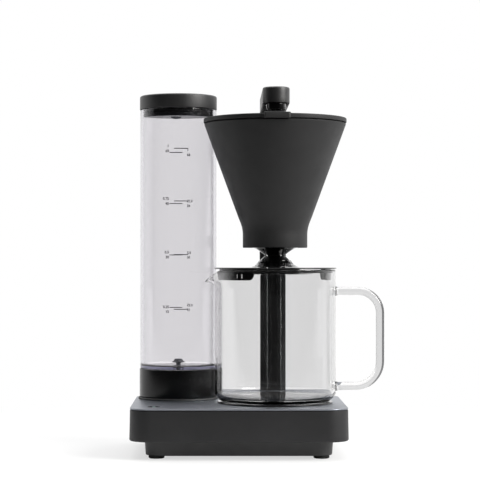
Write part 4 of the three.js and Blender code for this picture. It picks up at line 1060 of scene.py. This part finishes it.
HANDLE_X = 146.7                     # the upright
HANDLE_TOP, HANDLE_LOW = 166, 67.8
BEND_TOP, BEND_LOW = 22.5, 26
HANDLE_R, HANDLE_ROOT = 4.3, 61.5      # rod radius, and where it starts from the jug's axis
root_x = [JUG_X + HANDLE_ROOT + 7 * (k / 8) for k in range(9)]
path = [(x, JUG_Y, HANDLE_TOP) for x in root_x]
path += arc((HANDLE_X - BEND_TOP, JUG_Y, HANDLE_TOP - BEND_TOP), (0, 0, 1), (1, 0, 0),
            BEND_TOP, 0, 90, 18)
path += [(HANDLE_X, JUG_Y, 117)]
path += arc((HANDLE_X - BEND_LOW, JUG_Y, HANDLE_LOW + BEND_LOW), (1, 0, 0), (0, 0, -1),
            BEND_LOW, 0, 90, 20)
path += [(x, JUG_Y, HANDLE_LOW) for x in reversed(root_x)]
# the rod swells where it meets the wall
radii = [HANDLE_R + 1.4 * (1 - min(1, (point[0] - JUG_X - HANDLE_ROOT) / 4.5)) ** 2
         for point in path]
join(jug, tube(path, radii, sides=40))
finish(jug, "glass_jug_body", GLASS, "jug", "jug_glass", 60)

# ------------------------------------------------------------------ jug lid
LID_Z0, LID_Z1 = 188.9, 190.4
SKIRT_Z0, SKIRT_Z1 = 177.5, 184.6


def skirt(start, end, corner, n):
    """A wall under the lid between two angles; corner is the part rounded at each end."""
    levels = []
    for i in range(n + 1):
        part = 0.5 - 0.5 * math.cos(math.pi * i / n)
        a = math.radians(start + (end - start) * part)
        inward = min(part, 1 - part) / corner
        z = SKIRT_Z0 + (SKIRT_Z1 - SKIRT_Z0) * (
            1 - math.sqrt(max(0, 1 - max(0, 1 - inward) ** 2)))
        levels.append([(JUG_X + r * math.cos(a), JUG_Y + r * math.sin(a), height)
                       for r, height in ((56.45, z + 0.3), (56.75, z), (57.75, z),
                                         (58.05, z + 0.3), (58.05, 189.4), (56.45, 189.4))])
    return loft(levels)


lid = lathe([
    (4.6, LID_Z1), (63.6, LID_Z1, 0.6), (63.6, LID_Z0, 0.6), (26, LID_Z0, 0.4),
    (25.4, 184.8, 0.6), (39.4, 184.2, 0.18), (39.4, 183.8, 0.18), (20, 182.5, 4),
    (4.6, 182.5)], JUG, 192)
join(lid,
     lathe([(56.4, 185.3, 0.3), (58.1, 185.3, 0.3), (58.1, 187.0, 0.3), (56.4, 187.0, 0.3)],
           JUG, 192),
     skirt(187, 247, corner=0.1, n=72),
     skirt(-30, 30, corner=0.05, n=48))
for degrees in (209, 215, 221, 227, 233):
    slit = box(51.4, 63.4, -0.95, 0.95, 179.2, 183.8, bevel=0.4, steps=3)
    spin(slit, JUG, degrees)
    cut(lid, slit)
finish(lid, "jug_lid_plate", GLOSS, "jug_lid", "jug_lid", 34)
gasket = lathe([(58.4, 184.9, 0.2), (59.3, 185.0, 0.3), (59.8, 185.5, 0.3),
                (59.3, 186.6, 0.3), (58.4, 186.9, 0.2)], JUG, 192)
finish(gasket, "jug_lid_seal", RUBBER, "jug_lid", "jug_lid_gasket", 50)
dome = lathe(
    [(4.0, LID_Z1 + 0.3), (20.2, LID_Z1 + 0.3, 0.1)]
    + spline([(20.2, 191.2), (18.0, 194.6), (15.2, 198.2), (12.6, 200.6), (11.2, 201.7)], 6)
    + [(10.1, 202.6, 0.5), (8.4, 202.6, 0.5), (4.0, 198.6)], JUG, 144)
finish(dome, "jug_lid_dome_cone", GLOSS, "jug_lid", "jug_lid_dome", 40)
flare = lathe(
    [(22.8, LID_Z1 + 0.3, 0.1), (24.2, LID_Z1 + 0.3, 0.1)]
    + spline([(24.15, 191.0), (22.3, 191.75), (20.6, 192.9), (18.8, 194.7), (17.5, 196.4),
              (16.4, 198.3)], 5)
    + [(15.75, 198.3)]
    + spline([(15.7, 198.2), (16.8, 196.2), (18.2, 194.2), (19.9, 192.35), (21.7, 191.25)], 5),
    JUG, 144)
finish(flare, "jug_lid_clear_flare", FLARE_MAT, "jug_lid", "jug_lid_flare", 40)

# ------------------------------------------------------------------ inner parts kept from the frame
for material, names in (
        (CAST, "heater_block"),
        (GREY, "thermostat thermal_fuse check_valve power_switch"),
        (SILICONE, "tank_outlet_hose heater_inlet_hose heater_outlet_hose riser_tube"),
        (BOARD, "control_board"), (RELAY, "relay"), (LEAD, "heater_leads mains_leads"),
        (STEEL, "tank_valve_spring drip_valve_spring")):
    for name in names.split():
        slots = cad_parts[name].data.materials
        slots.clear()
        slots.append(material)

# ------------------------------------------------------------------ studio floor
THROUGH = 0.8      # how much of the white sweep is seen through clear walls in any direction


def seen_through(tree, path):
    """The share of white for rays that have only passed through clear walls."""
    bounces = calc(tree, "ADD", path.outputs["Diffuse Depth"], path.outputs["Glossy Depth"])
    direct = calc(tree, "MULTIPLY", path.outputs["Is Transmission Ray"],
                  calc(tree, "LESS_THAN", bounces, 0.5))
    return calc(tree, "MULTIPLY", direct, THROUGH)


def floor_material():
    """Matt white near the brewer that fades into a glow further out, dim at the front."""
    material, tree, shader = new_material("studio_floor")
    feed(tree, shader, {
        "Base Color": tinted(tree, noise(tree, object_coords(tree), 3.0, detail=2),
                             dark=(0.90, 0.90, 0.90), light=(0.92, 0.92, 0.92)),
        "Roughness": 0.9, "Specular IOR Level": 0.1})
    position = add_node(tree, "ShaderNodeNewGeometry").outputs["Position"]
    distance = add_node(tree, "ShaderNodeVectorMath", {0: position}, operation="LENGTH")
    fade = map_range(tree, distance.outputs["Value"], source=(0.20, 0.60), smooth=True)
    split = add_node(tree, "ShaderNodeSeparateXYZ", {0: position})
    front = map_range(tree, split.outputs["Y"], source=(-0.85, 0.10), target=(0.05, 1.0),
                      smooth=True)
    white = add_node(tree, "ShaderNodeEmission", {"Strength": 1.0})
    reflected = add_node(tree, "ShaderNodeEmission", {"Strength": front})
    path = add_node(tree, "ShaderNodeLightPath")
    camera_ray = path.outputs["Is Camera Ray"]
    glow = add_node(tree, "ShaderNodeMixShader", {
        0: calc(tree, "MAXIMUM", seen_through(tree, path), camera_ray),
        1: reflected.outputs[0], 2: white.outputs[0]})
    share = add_node(tree, "ShaderNodeMix", {
        "Factor": camera_ray, "A": fade,
        "B": map_range(tree, fade, source=(0.0, 1.0), target=(0.62, 1.0))}, data_type="FLOAT")
    surface = add_node(tree, "ShaderNodeMixShader", {
        0: share.outputs["Result"], 1: shader.outputs[0], 2: glow.outputs[0]})
    feed(tree, tree.nodes["Material Output"], {"Surface": surface.outputs[0]})
    return material


FLOOR_CELLS, FLOOR_SIZE = 24, 24      # metres
ROW = FLOOR_CELLS + 1
FLOOR_MAT = floor_material()
floor_mesh = bpy.data.meshes.new("studio_floor")
floor_mesh.from_pydata(
    [(-12 + FLOOR_SIZE * i / FLOOR_CELLS, -9 + FLOOR_SIZE * j / FLOOR_CELLS, -0.0004)
     for i in range(ROW) for j in range(ROW)], [],
    [[i * ROW + j, (i + 1) * ROW + j, (i + 1) * ROW + j + 1, i * ROW + j + 1]
     for i in range(FLOOR_CELLS) for j in range(FLOOR_CELLS)])
floor_mesh.update()
floor_mesh.materials.append(FLOOR_MAT)
floor = bpy.data.objects.new("studio_floor", floor_mesh)
scene.collection.objects.link(floor)


# ------------------------------------------------------------------ studio world
def studio_world():
    """White for the camera; in reflections bright behind and above, and dark in front."""
    world = bpy.data.worlds.new("studio")
    scene.world = world
    world.use_nodes = True
    tree = world.node_tree
    direction = add_node(tree, "ShaderNodeSeparateXYZ", {
        0: add_node(tree, "ShaderNodeTexCoord").outputs["Generated"]}).outputs

    def ramp(axis, source, target):
        return map_range(tree, direction[axis], source, target, smooth=True)

    back = ramp("Y", source=(-0.15, 0.50), target=(0.0, 1.0))
    above = ramp("Z", source=(0.30, 0.95), target=(0.0, 0.50))
    right = calc(tree, "MULTIPLY", ramp("X", source=(0.45, 0.95), target=(0.0, 0.38)),
                 ramp("Z", source=(0.10, 0.35), target=(0.35, 1.0)))
    ambient = 0.02
    total = calc(tree, "ADD", calc(tree, "ADD", back, above), calc(tree, "ADD", right, ambient))
    path = add_node(tree, "ShaderNodeLightPath")
    white = calc(tree, "MAXIMUM", path.outputs["Is Camera Ray"], seen_through(tree, path))
    strength = add_node(tree, "ShaderNodeMix", {"Factor": white, "A": total, "B": 1.0},
                        data_type="FLOAT")
    feed(tree, tree.nodes["Background"], {
        "Strength": strength.outputs["Result"], "Color": (1.0, 1.0, 1.0, 1)})


studio_world()


# ------------------------------------------------------------------ lights
def area(name, place, target, size, power, colour=(1, 1, 1)):
    lamp = bpy.data.lights.new(name, "AREA")
    lamp.shape = "RECTANGLE"
    lamp.size, lamp.size_y = size
    lamp.energy = power
    lamp.color = colour
    holder = bpy.data.objects.new(name, lamp)
    scene.collection.objects.link(holder)
    holder.location = place
    aim = Vector(target) - Vector(place)
    holder.rotation_euler = aim.to_track_quat("-Z", "Y").to_euler()
    return holder


area("key_softbox", place=(1.75, -0.95, 1.35), target=(0.0, 0.0, 0.2), size=(1.3, 1.3),
     power=60, colour=(1.0, 0.985, 0.965))
area("top_softbox", place=(0.0, 0.25, 2.2), target=(0, 0, 0.1), size=(2.4, 2.0), power=20)

# two strips that light only the column, and show only as reflections in it
column_only = bpy.data.collections.new("column_only")
column_only.objects.link(column)
for name, x, power in (("left_strip", -0.95, 520.0), ("right_strip", 1.02, 320.0)):
    strip = area(name, place=(x, -1.05, 0.30), target=(0.038, 0.08, 0.25), size=(0.40, 1.3),
                 power=power)
    strip.visible_diffuse = False
    strip.visible_transmission = False
    strip.visible_camera = False
    strip.light_linking.receiver_collection = column_only

# ------------------------------------------------------------------ camera, level and facing +Y
lens = bpy.data.cameras.new("camera")
camera = bpy.data.objects.new("camera", lens)
scene.collection.objects.link(camera)
camera.location = (OFFSET.x - 0.020, OFFSET.y - 0.094 - 1.7255, 0.1947)
camera.rotation_euler = (math.radians(90), 0, 0)
lens.sensor_width = 36.0
lens.lens = 131.25
lens.shift_x = 0.04375
lens.shift_y = 0.04875
lens.clip_start = 0.01
lens.clip_end = 50
scene.camera = camera
scene.view_settings.view_transform = "Standard"
scene.view_settings.look = "None"
